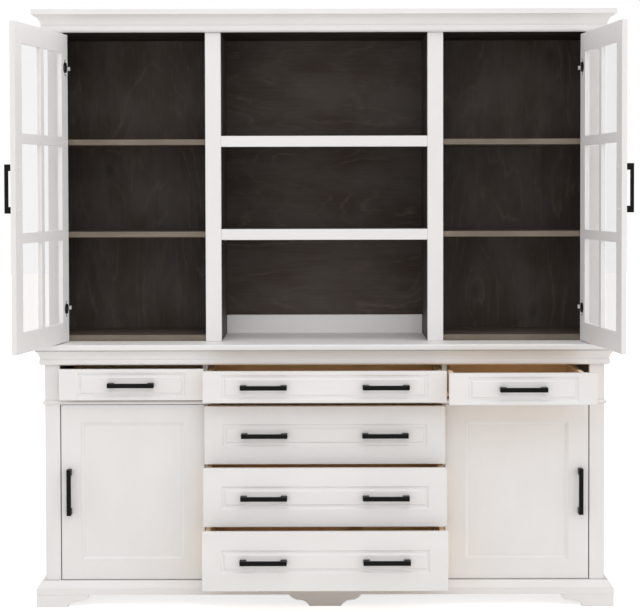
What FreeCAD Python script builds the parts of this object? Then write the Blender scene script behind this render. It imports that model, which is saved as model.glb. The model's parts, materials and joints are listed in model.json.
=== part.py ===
import FreeCAD, Part
import math
import os
import re

import Sketcher

# Buffet dresser with a glazed hutch, drawn with its hutch doors swung open and its drawers part-way out.
# Millimetres; X to the right, front towards -Y, Z up. The origin lies on the floor under the middle foot,
# in the plane of the corner posts' front faces.

SIZES = {
    "base_depth": (400, "front of the posts to the rear edge"),
    "hutch_setback": (80, "hutch frame front behind the post fronts"),
    "side_board": (18, "thickness of the sides and the base floor"),
    "partition_board": (16, "thickness of the base partitions"),
    "wall_board": (18, "thickness of the hutch partitions"),
    "back_board": (8, "thickness of every back panel"),
    "back_recess": (10, "rear edge to the outer face of a back panel"),
    "foot_height": (40, "floor to the underside of the plinth"),
    "foot_toe": (103, "length of a corner foot along the floor"),
    "foot_sweep": (170, "length of a corner foot under the plinth"),
    "foot_curl": (16, "radius of the lower curve of a corner foot"),
    "foot_hollow": (18, "radius of the upper curve of a corner foot"),
    "middle_toe": (51, "half length of the middle foot along the floor"),
    "middle_sweep": (118, "half length of the middle foot under the plinth"),
    "middle_scroll": (39, "radius of both curves of the middle foot"),
    "middle_setback": (10, "middle foot behind the plinth face"),
    "plinth_height": (19, "height of the plinth boards"),
    "plinth_board": (22, "thickness of the plinth boards and of the feet"),
    "plinth_reach": (27, "plinth face in front of the posts"),
    "cap_front": (23, "height of the plinth moulding along the front"),
    "cap_side": (40, "height of the plinth moulding along the sides"),
    "cap_step": (1.5, "plinth edge showing below its moulding"),
    "cap_round": (40, "radius of the rounded nose of the plinth moulding"),
    "cap_slope_run": (15, "run of the sloping part of the plinth moulding"),
    "cap_slope_drop": (22, "drop of the sloping part of the plinth moulding"),
    "worktop_level": (848.5, "floor to the top of the worktop"),
    "worktop_board": (20.5, "thickness of the worktop"),
    "worktop_reach": (28, "worktop edge in front of the posts"),
    "worktop_round": (6, "rounding of the worktop edge"),
    "cove_height": (29, "height of the hollow under the worktop"),
    "cove_reach": (27.5, "upper edge of the hollow in front of the posts"),
    "cove_foot": (13, "lower edge of the hollow in front of the posts"),
    "cove_round": (40, "radius of the hollow under the worktop"),
    "fillet_height": (18, "height of the band under the hollow"),
    "fillet_reach": (15, "band under the hollow in front of the posts"),
    "fillet_round": (8, "rounding of the lower edge of that band"),
    "top_front_clear": (10.4, "top drawer fronts below the worktop moulding"),
    "rail_height": (15, "height of the rail below the top drawers"),
    "bead_height": (13.5, "height of the half-round bead"),
    "bead_reach": (6.5, "bead in front of the posts"),
    "post_width": (49, "width of a corner post"),
    "post_depth": (22, "depth of a corner post"),
    "base_door_width": (463, "width of a base door and of a side drawer front"),
    "front_board": (20, "thickness of drawer fronts and base doors"),
    "front_recess": (2, "fronts behind the post fronts"),
    "front_clear": (2, "fronts clear of the base floor and of the rail"),
    "reveal": (3, "gap between neighbouring fronts"),
    "top_front_height": (99.6, "height of a top drawer front"),
    "groove_width": (14, "width of the milled groove in a drawer front"),
    "groove_depth": (4, "depth of the milled groove in a drawer front"),
    "groove_slope": (40, "slope of the groove walls, degrees from square"),
    "groove_side": (58, "front edge to the groove at the ends"),
    "groove_top_small": (11.5, "front edge to the groove, top drawers"),
    "groove_top_large": (58, "front edge to the groove, large drawers"),
    "box_board": (14, "thickness of drawer sides and backs"),
    "box_floor": (5, "thickness of a drawer bottom"),
    "box_floor_lift": (8, "drawer bottom above the lower edge of the sides"),
    "box_drop": (9, "drawer sides below the upper edge of the front"),
    "box_lift": (14, "drawer sides above the lower edge of the front"),
    "box_rear_clear": (10, "closed drawer box in front of the back panel"),
    "box_outer_inset": (24, "outer drawer side from the outer end of a side drawer's front"),
    "slide_clear": (1.5, "drawer side to partition"),
    "runner_clear": (0.3, "drawer side above its runner"),
    "runner_height": (12, "height of a drawer runner"),
    "runner_overlap": (20, "runner under a drawer side and beyond"),
    "pull_top_left": (41, "left top drawer drawn out"),
    "pull_top_middle": (108, "middle top drawer drawn out"),
    "pull_top_right": (168, "right top drawer drawn out"),
    "pull_large_upper": (40, "upper large drawer drawn out"),
    "pull_large_middle": (99, "middle large drawer drawn out"),
    "pull_large_lower": (160, "lower large drawer drawn out"),
    "door_frame_width": (65, "width of the base door stiles and lower rails"),
    "door_top_rail": (57, "height of the upper rail of a base door"),
    "door_quirk": (1, "depth of the small step round the bevel of a base door"),
    "door_ledge": (1, "width of the ledge between that step and the bevel"),
    "door_bevel": (9, "width of the bevel round a base door panel"),
    "door_bevel_depth": (4.5, "depth of the bevel round a base door panel"),
    "door_lip": (6, "base door face to the panel face"),
    "door_panel_board": (8, "thickness of a base door panel"),
    "hutch_height": (1011, "worktop to the top of the hutch openings"),
    "hutch_top_board": (18, "thickness of the hutch top"),
    "frame_board": (20, "thickness of the hutch stiles, pillars and shelf rails"),
    "stile_width": (51, "width of an outer hutch stile"),
    "pillar_width": (51, "width of a hutch pillar"),
    "centre_opening": (676, "width of the open middle bay"),
    "shelf_board": (19, "thickness of the shelves"),
    "bay_floor_board": (20, "thickness of the side bay floors"),
    "side_shelf_low": (341.5, "worktop to the underside of the lower side shelves"),
    "side_shelf_high": (644.5, "worktop to the underside of the upper side shelves"),
    "shelf_rail_height": (35.5, "height of a middle shelf rail"),
    "shelf_rail_low": (333, "worktop to the underside of the lower middle rail"),
    "shelf_rail_high": (638, "worktop to the underside of the upper middle rail"),
    "back_rail_height": (64.5, "height of the rail at the back of the middle bay"),
    "back_rail_board": (16, "thickness of the rail at the back of the middle bay"),
    "cornice_flat": (21.5, "height of the lower band of the cornice"),
    "cornice_flat_reach": (18, "lower band in front of the hutch frame"),
    "cornice_flat_round": (11, "rounding of the lower edge of that band"),
    "cornice_cove": (34, "height of the hollow of the cornice"),
    "cornice_cove_foot": (16, "lower edge of the hollow in front of the hutch frame"),
    "cornice_cove_reach": (39, "upper edge of the hollow in front of the hutch frame"),
    "cornice_cove_round": (46, "radius of the hollow of the cornice"),
    "cornice_cap": (16, "height of the top band of the cornice"),
    "cornice_cap_reach": (44, "top band in front of the hutch frame"),
    "glass_door_board": (16, "thickness of a hutch door"),
    "glass_door_width": (459, "width of a hutch door"),
    "glass_door_gap": (3, "gap below a hutch door and at its sides"),
    "glass_door_top_gap": (8, "gap above a hutch door"),
    "pane_stile": (56, "width of a hutch door stile"),
    "pane_rail": (62, "height of a hutch door rail"),
    "muntin_upright": (25, "width of the upright glazing bar"),
    "muntin_cross": (31, "height of the cross glazing bars"),
    "glass_board": (4, "thickness of the panes"),
    "glass_inset": (5, "hutch door face to the panes"),
    "open_left": (100.6, "left hutch door swung open, degrees"),
    "open_right": (96.3, "right hutch door swung open, degrees"),
    "handle_length": (148, "overall length of a handle"),
    "handle_post": (20, "length of a handle post along the bar"),
    "handle_bar": (8.5, "thickness of the handle bar"),
    "handle_height": (14, "height of the handle bar"),
    "handle_reach": (29, "front of a handle bar from the face it stands on"),
    "handle_round": (1.2, "rounding of the handle edges"),
    "drawer_handle_place": (194, "middle of the cabinet to a handle of a wide drawer"),
    "glass_handle_inset": (29, "free edge of a hutch door to its handle"),
    "glass_handle_level": (501.5, "worktop to the middle of a hutch door handle"),
    "base_handle_inset": (27, "free edge of a base door to its handle"),
    "base_handle_level": (286, "lower edge of a base door to the middle of its handle"),
    "cup_radius": (17.5, "radius of a hinge cup bore"),
    "cup_clear": (0.1, "hinge cup in its bore"),
    "cup_depth": (11, "depth of a hinge cup"),
    "cup_inset": (22.5, "hinge edge of a door to the middle of a cup"),
    "cup_end": (108, "end of a door to the middle of a cup"),
    "flange_length": (52, "height of a hinge cup flange"),
    "flange_width": (14, "width of a hinge cup flange"),
    "flange_board": (1.5, "thickness of a hinge cup flange"),
    "arm_height": (12, "height of a hinge arm"),
    "arm_width": (10, "thickness of a hinge arm"),
    "arm_length": (60, "length of a straight hinge arm"),
    "arm_crank": (49, "reach of a cranked hinge arm behind a hutch stile"),
    "arm_clear": (0.5, "hinge arm behind a closed hinge cup"),
    "knuckle_radius": (1.2, "radius of the knuckle on a hutch door's hinge line"),
    "plate_board": (4, "thickness of a hinge plate"),
    "plate_length": (46, "length of a hinge plate"),
    "plate_height": (40, "height of a hinge plate"),
}

# Levels and places worked out from the driving sizes.
FLOOR_TOP = "(foot_height + plinth_height + cap_front)"
PLINTH_TOP = "(foot_height + plinth_height)"
WORKTOP_UNDER = "(worktop_level - worktop_board)"
TOP_FRONT_LOW = (
    f"({WORKTOP_UNDER} - cove_height - fillet_height - top_front_clear - top_front_height)"
)
RAIL_TOP = f"({TOP_FRONT_LOW} - reveal)"
RAIL_LOW = f"({RAIL_TOP} - rail_height)"
HUTCH_TOP = "(worktop_level + hutch_height)"
PILLAR_INNER = "(centre_opening / 2)"
PILLAR_OUTER = f"({PILLAR_INNER} + pillar_width)"
STILE_INNER = f"({PILLAR_OUTER} + glass_door_width + 2 * glass_door_gap)"
SIDE_X = f"({STILE_INNER} + stile_width)"
SIDE_INNER = f"({SIDE_X} - side_board)"
BACK_FACE = "(base_depth - back_recess - back_board)"
FRONT_OUTER = f"({SIDE_X} - post_width - reveal)"
FRONT_INNER = f"({FRONT_OUTER} - base_door_width)"
PARTITION_PLACE = f"({FRONT_INNER} - reveal / 2)"
PARTITION_INNER = f"({PARTITION_PLACE} - partition_board / 2)"
PARTITION_OUTER = f"({PARTITION_PLACE} + partition_board / 2)"
FRONT_FACE = "front_recess"
FRONT_REAR = "(front_recess + front_board)"
PARTITION_FRONT = f"({FRONT_REAR} + front_clear)"
FRONT_LOW = f"({FLOOR_TOP} + front_clear)"
FRONT_ZONE = f"({RAIL_LOW} - {FLOOR_TOP} - 2 * front_clear)"
LARGE_FRONT = f"(({FRONT_ZONE} - 2 * reveal) / 3)"
FRAME_REAR = "(hutch_setback + frame_board)"
WALL_OUTER = f"({PILLAR_INNER} + wall_board)"
GLASS_DOOR_HEIGHT = "(hutch_height - glass_door_gap - glass_door_top_gap)"
GLASS_DOOR_LOW = "(worktop_level + glass_door_gap)"
GLASS_PIVOT = f"({STILE_INNER} - glass_door_gap / 2)"
BOX_LENGTH = f"({BACK_FACE} - {FRONT_REAR} - box_rear_clear)"
HANDLE_GAP = "(handle_length - 2 * handle_post)"

doc = FreeCAD.newDocument("buffet_with_hutch")
sheet = doc.addObject("Spreadsheet::Sheet", "Sizes")
for row, (alias, (amount, meaning)) in enumerate(SIZES.items(), 1):
    sheet.set(f"A{row}", alias)
    sheet.set(f"B{row}", str(amount))
    sheet.set(f"C{row}", meaning)
    sheet.setAlias(f"B{row}", alias)
doc.recompute()

ALIASES = re.compile(r"\b(" + "|".join(SIZES) + r")\b")
PARTS = []


def linked(expression):
    """The expression with each size named as a cell of the sheet."""
    return ALIASES.sub(r"Sizes.\1", str(expression))


def amount_of(expression):
    """The number that an expression has now."""
    return float(sheet.evalExpression(linked(expression)))


def bind(thing, **expressions):
    """Ties properties of a document object to the sheet."""
    for name, expression in expressions.items():
        thing.setExpression(name.replace("__", "."), linked(expression))


def place(thing, x=None, y=None, z=None, turn=None):
    """Ties an object's place, and its turn about the vertical, to the sheet."""
    for axis, expression in (("x", x), ("y", y), ("z", z)):
        if expression is not None:
            thing.setExpression(f"Placement.Base.{axis}", linked(expression))
    if turn is not None:
        thing.setExpression("Placement.Rotation.Angle", linked(turn))
    return thing


def keep(thing, label):
    """Names an object as one of the parts that are written out."""
    thing.Label = label
    PARTS.append(thing)
    return thing


def block(name, spans):
    """A board given by its low and high expression along X, Y and Z."""
    board = doc.addObject("Part::Box", name)
    for side, (low, high) in zip(("Length", "Width", "Height"), spans):
        board.setExpression(side, linked(f"({high}) - ({low})"))
    return place(board, *(low for low, _ in spans))


def rod(name, radius, length, at):
    """A cylinder that runs towards the back from a point."""
    cylinder = doc.addObject("Part::Cylinder", name)
    bind(cylinder, Radius=radius, Height=length)
    cylinder.Placement.Rotation = FreeCAD.Rotation(FreeCAD.Vector(1, 0, 0), -90)
    return place(cylinder, *at)


def group(name, members):
    """Several separate solids under one name."""
    compound = doc.addObject("Part::Compound", name)
    compound.Links = members
    return compound


def cut(name, base, tool):
    """A solid less another."""
    result = doc.addObject("Part::Cut", name)
    result.Base = base
    result.Tool = tool
    return result


def fuse(name, members):
    """One solid of several that touch."""
    result = doc.addObject("Part::MultiFuse", name)
    result.Shapes = members
    return result


def mirrored(name, source):
    """The same solid on the other side of the cabinet's middle plane."""
    copy = doc.addObject("Part::Mirroring", name)
    copy.Source = source
    copy.Normal = FreeCAD.Vector(1, 0, 0)
    return copy


def arc_between(start, end, radius, turn):
    """An arc from start to end, counter-clockwise where turn is 1 and clockwise where it is -1."""
    first, last = (start, end) if turn > 0 else (end, start)
    half = (last - first) * 0.5
    rise = math.sqrt(max(radius * radius - half.Length**2, 0.0))
    normal = FreeCAD.Vector(-half.y, half.x, 0).normalize()
    middle = first + half + normal * rise
    angles = [math.atan2(p.y - middle.y, p.x - middle.x) for p in (first, last)]
    circle = Part.Circle(middle, FreeCAD.Vector(0, 0, 1), radius)
    return Part.ArcOfCircle(circle, *angles)


def pin_down(sketch, kind, axis, edge, end, expression):
    """Sets one coordinate of a corner, on the axis where it is nought."""
    if str(expression) == "0":
        sketch.addConstraint(Sketcher.Constraint("PointOnObject", edge, end, axis))
        return
    amount = amount_of(expression)
    number = sketch.addConstraint(Sketcher.Constraint(kind, -1, 1, edge, end, amount))
    sketch.setExpression(f"Constraints[{number}]", linked(expression))


def outline(sketch, corners):
    """Adds a closed outline of corners (across, up), with (radius, turn) added where an arc follows."""
    first = sketch.GeometryCount
    count = len(corners)
    spots = [FreeCAD.Vector(amount_of(c[0]), amount_of(c[1]), 0) for c in corners]
    ends = []
    for i, corner in enumerate(corners):
        start, end = spots[i], spots[(i + 1) % count]
        if len(corner) == 2:
            sketch.addGeometry(Part.LineSegment(start, end))
            ends.append((1, 2))
            continue
        radius, turn = corner[2:]
        sketch.addGeometry(arc_between(start, end, amount_of(radius), turn))
        ends.append((1, 2) if turn > 0 else (2, 1))
    for i, corner in enumerate(corners):
        after = (i + 1) % count
        join = (first + i, ends[i][1], first + after, ends[after][0])
        sketch.addConstraint(Sketcher.Constraint("Coincident", *join))
        pin_down(sketch, "DistanceX", -2, first + i, ends[i][0], corner[0])
        pin_down(sketch, "DistanceY", -1, first + i, ends[i][0], corner[1])
        if len(corner) == 4:
            number = sketch.addConstraint(Sketcher.Constraint("Radius", first + i, amount_of(corner[2])))
            sketch.setExpression(f"Constraints[{number}]", linked(corner[2]))


def rectangle(left, right, low, high):
    """The corners of an upright rectangle."""
    return [(left, low), (right, low), (right, high), (left, high)]


def sketch_on(body, name, plane, outlines):
    """A sketch on one of a body's own planes."""
    sketch = body.newObject("Sketcher::SketchObject", name)
    support = next(f for f in body.Origin.OriginFeatures if f.Role == plane)
    sketch.AttachmentSupport = [(support, "")]
    sketch.MapMode = "FlatFace"
    for corners in outlines:
        outline(sketch, corners)
    return sketch


def padded(name, plane, outlines, length, symmetric=False, reverse=False):
    """A body whose first feature is a sketch drawn out to a length."""
    body = doc.addObject("PartDesign::Body", name)
    sketch = sketch_on(body, f"{name}_outline", plane, outlines)
    pad = body.newObject("PartDesign::Pad", f"{name}_pad")
    pad.Profile = sketch
    pad.Reversed = reverse
    if symmetric:
        pad.SideType = "Symmetric"
    bind(pad, Length=length)
    return body


def edges_where(shape, wanted):
    """The names of the edges whose middle point passes a test."""
    middles = [edge.CenterOfMass for edge in shape.Edges]
    return [f"Edge{i}" for i, middle in enumerate(middles, 1) if wanted(middle)]


def rounded(body, radius, wanted):
    """Rounds the edges of a body that pass a test."""
    doc.recompute()
    base = body.Tip
    fillet = body.newObject("PartDesign::Fillet", f"{body.Name}_round")
    fillet.Base = (base, edges_where(base.Shape, wanted))
    bind(fillet, Radius=radius)
    return body


def mitre(name, face, reach, low, high, across):
    """A block turned to the left mitre line, moved across that line by a share of the reach."""
    tool = doc.addObject("Part::Box", name)
    bind(tool, Length=f"4 * ({reach})", Width=f"3 * ({reach})", Height=f"({high}) - ({low}) + 2")
    tool.Placement.Rotation = FreeCAD.Rotation(FreeCAD.Vector(0, 0, 1), 45)
    x = f"-{SIDE_X} + (-2 - ({across})) * ({reach}) * cos(45)"
    y = f"({face}) + (-2 + ({across})) * ({reach}) * cos(45)"
    return place(tool, x, y, f"({low}) - 1")


def moulding(name, profile, face, reach, low, high, side_profile=None):
    """A strip along the front and one along each side, mitred at the front corners.

    The profile's corners are (minus the distance in front of the face, level).
    """
    front = padded(f"{name}_front", "YZ_Plane", [profile], f"2 * ({SIDE_X} + {reach})", symmetric=True)
    place(front, y=face)
    length = f"base_depth - ({face}) + ({reach})"
    side = padded(f"{name}_side", "XZ_Plane", [side_profile or profile], length, reverse=True)
    place(side, x=f"-{SIDE_X}", y=f"({face}) - ({reach})")
    end = mitre(f"{name}_end", face, reach, low, high, 0)
    corner = mitre(f"{name}_corner", face, reach, low, high, -3)
    ends = group(f"{name}_ends", [end, mirrored(f"{name}_end_right", end)])
    strip = cut(f"{name}_front_strip", front, ends)
    left = cut(f"{name}_left_strip", side, corner)
    right = mirrored(f"{name}_right_strip", left)
    return keep(group(name, [strip, left, right]), name)


def pairs(name, *boards):
    """Boards on the left and their mirror images on the right, under one name."""
    members = []
    for i, spans in enumerate(boards):
        left = block(f"{name}_left_{i}", spans)
        members += [left, mirrored(f"{name}_right_{i}", left)]
    return keep(group(name, members), name)


def build_base():
    """The base cabinet's fixed boards."""
    keep(block("base_floor", [(f"-{SIDE_X}", SIDE_X), ("0", "base_depth"),
                              (f"{FLOOR_TOP} - side_board", FLOOR_TOP)]), "base_floor")
    upright = (FLOOR_TOP, WORKTOP_UNDER)
    pairs("base_sides", [(f"-{SIDE_X}", f"-{SIDE_INNER}"), ("post_depth", "base_depth"), upright])
    pairs("base_posts", [(f"-{SIDE_X}", f"-{SIDE_X} + post_width"), ("0", "post_depth"), upright])
    pairs("base_partitions", [(f"-{PARTITION_OUTER}", f"-{PARTITION_INNER}"),
                              (PARTITION_FRONT, BACK_FACE), upright])
    keep(block("base_back", [(f"-{SIDE_INNER}", SIDE_INNER),
                             (BACK_FACE, f"{BACK_FACE} + back_board"), upright]), "base_back")
    keep(block("drawer_rail", [(f"-{SIDE_X} + post_width", f"{SIDE_X} - post_width"),
                               ("0", PARTITION_FRONT), (RAIL_LOW, RAIL_TOP)]), "drawer_rail")


def build_worktop():
    """The worktop with its rounded edge and the moulding below it."""
    edge = f"({SIDE_X} + worktop_reach)"
    slab = padded("worktop", "XZ_Plane", [rectangle(f"-{edge}", edge, WORKTOP_UNDER, "worktop_level")],
                  "base_depth + worktop_reach", reverse=True)
    place(slab, y="-worktop_reach")
    reach = amount_of(edge)
    depth = amount_of("base_depth + worktop_reach")

    def outer_edge(middle):
        if middle.y < 1:
            return abs(middle.x) < 1
        return abs(middle.x) > reach - 1 and middle.y < depth - 1

    rounded(slab, "worktop_round", outer_edge)
    keep(slab, "worktop")
    low = f"{WORKTOP_UNDER} - cove_height - fillet_height"
    moulding("worktop_moulding", [
        ("0", low),
        ("-(fillet_reach - fillet_round)", low, "fillet_round", -1),
        ("-fillet_reach", f"{low} + fillet_round"),
        ("-fillet_reach", f"{low} + fillet_height"),
        ("-cove_foot", f"{low} + fillet_height", "cove_round", 1),
        ("-cove_reach", WORKTOP_UNDER),
        ("0", WORKTOP_UNDER),
    ], "0", "cove_reach", low, WORKTOP_UNDER)
    moulding("bead_moulding", [
        ("0", RAIL_LOW, "(bead_reach ^ 2 + bead_height ^ 2 / 4) / (2 * bead_reach)", -1),
        ("0", f"{RAIL_LOW} + bead_height"),
    ], "0", "bead_reach", RAIL_LOW, f"{RAIL_LOW} + bead_height")


def foot_outline(sign):
    """A bracket foot from its square end, swept towards the right (1) or the left (-1)."""
    return [
        ("0", "0"),
        (f"{sign} * foot_toe", "0", "foot_curl", -sign),
        (f"{sign} * (foot_toe + foot_curl)", "foot_curl"),
        (f"{sign} * (foot_sweep - foot_hollow)", "foot_height - foot_hollow", "foot_hollow", sign),
        (f"{sign} * foot_sweep", "foot_height"),
        ("0", "foot_height"),
    ]


def build_plinth():
    """The plinth boards, their moulding, the bracket feet and the middle foot."""
    reach = "plinth_reach"
    inner = "-plinth_reach + plinth_board"
    moulding("plinth", [
        (inner, "foot_height"),
        (f"-{reach}", "foot_height"),
        (f"-{reach}", PLINTH_TOP),
        (inner, PLINTH_TOP),
    ], "0", reach, "foot_height", PLINTH_TOP)
    nose = f"-({reach} - cap_step)"
    side_top = f"({PLINTH_TOP} + cap_side)"
    shoulder = [
        ("0", PLINTH_TOP),
        (nose, PLINTH_TOP, "cap_round", -1),
        ("-cap_slope_run", f"{side_top} - cap_slope_drop"),
    ]
    flat = "-(cap_side - cap_front) * cap_slope_run / cap_slope_drop"
    moulding("plinth_moulding", [*shoulder, (flat, FLOOR_TOP), ("0", FLOOR_TOP)], "0", reach, PLINTH_TOP,
             side_top, [*shoulder, ("0", side_top)])
    build_feet()


def build_feet():
    """Four bracket feet under the corners and one foot under the middle of the front."""
    outer = f"-({SIDE_X} + plinth_reach)"
    wing = padded("foot_front_wing", "XZ_Plane", [foot_outline(1)], "plinth_board", reverse=True)
    place(wing, x=outer, y="-plinth_reach")
    side = padded("foot_side_wing", "YZ_Plane", [foot_outline(1)], "plinth_board")
    place(side, x=outer, y="-plinth_reach")
    front = fuse("foot_front_left", [wing, side])
    rear = padded("foot_rear_left", "YZ_Plane", [foot_outline(-1)], "plinth_board")
    place(rear, x=outer, y="base_depth")
    members = [front, mirrored("foot_front_right", front), rear, mirrored("foot_rear_right", rear)]
    keep(group("corner_feet", members), "corner_feet")
    waist, half_way = "(middle_toe + middle_sweep) / 2", "foot_height / 2"
    middle = padded("middle_foot", "XZ_Plane", [[
        ("-middle_toe", "0"),
        ("middle_toe", "0", "middle_scroll", -1),
        (waist, half_way, "middle_scroll", 1),
        ("middle_sweep", "foot_height"),
        ("-middle_sweep", "foot_height", "middle_scroll", 1),
        (f"-{waist}", half_way, "middle_scroll", -1),
    ]], "plinth_board", reverse=True)
    place(middle, y="-plinth_reach + middle_setback")
    keep(middle, "middle_foot")


def build_hutch():
    """The hutch's fixed boards, shelves and cornice."""
    upright = ("worktop_level", HUTCH_TOP)
    behind = (FRAME_REAR, "base_depth")
    pairs("hutch_sides", [(f"-{SIDE_X}", f"-{SIDE_INNER}"), behind, upright])
    frame = ("hutch_setback", FRAME_REAR)
    pairs("hutch_face_frame", [(f"-{SIDE_X}", f"-{STILE_INNER}"), frame, upright],
          [(f"-{PILLAR_OUTER}", f"-{PILLAR_INNER}"), frame, upright])
    pairs("hutch_partitions", [(f"-{WALL_OUTER}", f"-{PILLAR_INNER}"), behind, upright])
    panel = (BACK_FACE, f"{BACK_FACE} + back_board")
    pairs("hutch_side_backs", [(f"-{SIDE_INNER}", f"-{WALL_OUTER}"), panel, upright])
    middle = (f"-{PILLAR_INNER}", PILLAR_INNER)
    keep(block("hutch_centre_back", [middle, panel, upright]), "hutch_centre_back")
    keep(block("back_rail", [middle, (f"{BACK_FACE} - back_rail_board", BACK_FACE),
                             ("worktop_level", "worktop_level + back_rail_height")]), "back_rail")
    top = (HUTCH_TOP, f"{HUTCH_TOP} + hutch_top_board")
    keep(block("hutch_top", [(f"-{SIDE_X}", SIDE_X), ("hutch_setback", "base_depth"), top]), "hutch_top")
    build_shelves(middle)
    cornice_cove = f"{HUTCH_TOP} + cornice_flat"
    cornice_cap = f"{cornice_cove} + cornice_cove"
    cornice_top = f"{cornice_cap} + cornice_cap"
    moulding("cornice", [
        ("0", HUTCH_TOP),
        ("-(cornice_flat_reach - cornice_flat_round)", HUTCH_TOP, "cornice_flat_round", -1),
        ("-cornice_flat_reach", f"{HUTCH_TOP} + cornice_flat_round"),
        ("-cornice_flat_reach", cornice_cove),
        ("-cornice_cove_foot", cornice_cove, "cornice_cove_round", 1),
        ("-cornice_cove_reach", cornice_cap),
        ("-cornice_cap_reach", cornice_cap),
        ("-cornice_cap_reach", cornice_top),
        ("0", cornice_top),
    ], "hutch_setback", "cornice_cap_reach", HUTCH_TOP, cornice_top)


def build_shelves(middle):
    """The stained shelves of the three bays and the painted rails of the middle ones."""
    inside = (FRAME_REAR, BACK_FACE)
    bay = (f"-{SIDE_INNER}", f"-{WALL_OUTER}")
    pairs("hutch_shelves",
          [bay, inside, ("worktop_level", "worktop_level + bay_floor_board")],
          *([bay, inside, (f"worktop_level + {level}", f"worktop_level + {level} + shelf_board")]
            for level in ("side_shelf_low", "side_shelf_high")))
    shelves = []
    rails = []
    for word in ("low", "high"):
        low = f"worktop_level + shelf_rail_{word}"
        top = f"{low} + shelf_rail_height"
        shelves.append(block(f"centre_shelf_{word}", [middle, inside, (f"{top} - shelf_board", top)]))
        rails.append(block(f"centre_rail_{word}", [middle, ("hutch_setback", FRAME_REAR), (low, top)]))
    keep(group("centre_shelves", shelves), "centre_shelves")
    keep(group("centre_rails", rails), "centre_rails")


def handle(name, upright):
    """A square bar handle on two posts, with its back on the plane that it is screwed to."""
    half = "handle_length / 2"
    gap = f"{HANDLE_GAP} / 2"
    inner = "-(handle_reach - handle_bar)"
    plan = [
        (f"-{half}", "0"),
        (f"-{half}", "-handle_reach"),
        (half, "-handle_reach"),
        (half, "0"),
        (gap, "0"),
        (gap, inner),
        (f"-{gap}", inner),
        (f"-{gap}", "0"),
    ]
    if upright:
        plan = [(y, x) for x, y in plan]
    body = padded(name, "YZ_Plane" if upright else "XY_Plane", [plan], "handle_height", symmetric=True)
    front = amount_of("handle_reach") - 1
    return rounded(body, "handle_round", lambda m: -m.y > front)


def cup_tools(name, sign, thick, low, height):
    """Bores for two hinge cups, cups with flanges to fill them, in a door's own place at its pivot."""
    across = f"{sign} * (cup_inset + reveal / 2)"
    bores, cups = [], []
    for word, level in (("low", f"{low} + cup_end"), ("high", f"{low} + {height} - cup_end")):
        start = f"{thick} - cup_depth"
        bores.append(rod(f"{name}_bore_{word}", "cup_radius", "cup_depth + 1", (across, start, level)))
        barrel = rod(f"{name}_barrel_{word}", "cup_radius - cup_clear", "cup_depth", (across, start, level))
        flange = block(f"{name}_flange_{word}", [
            (f"{across} - flange_width / 2", f"{across} + flange_width / 2"),
            (thick, f"{thick} + flange_board"),
            (f"{level} - flange_length / 2", f"{level} + flange_length / 2"),
        ])
        cups.append(fuse(f"{name}_cup_{word}", [barrel, flange]))
    return group(f"{name}_bores", bores), group(f"{name}_hinges", cups)


def build_glass_door(word, sign, turn):
    """A glazed hutch door, hung at its outer edge and drawn open."""
    name = f"hutch_door_{word}"
    pivot = f"{-sign} * {GLASS_PIVOT}"
    edges = ["glass_door_gap / 2", "glass_door_gap / 2 + glass_door_width"]
    near, far = edges
    low, high = GLASS_DOOR_LOW, f"({GLASS_DOOR_LOW} + {GLASS_DOOR_HEIGHT})"
    pane_width = "((glass_door_width - 2 * pane_stile - muntin_upright) / 2)"
    pane_height = f"(({GLASS_DOOR_HEIGHT} - 2 * pane_rail - 2 * muntin_cross) / 3)"
    windows, panes = [], []
    for column in range(2):
        start = f"{near} + pane_stile + {column} * ({pane_width} + muntin_upright)"
        across = sorted([f"{sign} * ({start})", f"{sign} * ({start} + {pane_width})"], key=amount_of)
        for row in range(3):
            base = f"{low} + pane_rail + {row} * ({pane_height} + muntin_cross)"
            windows.append(rectangle(*across, base, f"{base} + {pane_height}"))
            panes.append(block(f"{name}_pane_{column}_{row}", [
                across, ("glass_inset", "glass_inset + glass_board"), (base, f"{base} + {pane_height}")]))
    left, right = sorted([f"{sign} * ({near})", f"{sign} * ({far})"], key=amount_of)
    slab = padded(f"{name}_slab", "XZ_Plane", [rectangle(left, right, low, high), *windows],
                  "glass_door_board", reverse=True)
    bores, cups = cup_tools(name, sign, "glass_door_board", low, GLASS_DOOR_HEIGHT)
    pull = handle(f"{name}_handle", upright=True)
    grip = f"({far} - glass_handle_inset)"
    seated = {
        "frame": cut(f"{name}_frame", slab, bores),
        "glass": group(f"{name}_glass", panes),
        "hinges": cups,
    }
    for piece, thing in seated.items():
        place(thing, pivot, "hutch_setback", turn=turn)
        keep(thing, f"{name}_{piece}")
    place(pull, f"{pivot} + {sign} * {grip} * cos({turn})", f"hutch_setback + {sign} * {grip} * sin({turn})",
          "worktop_level + glass_handle_level", turn)
    keep(pull, f"{name}_handle")


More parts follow.
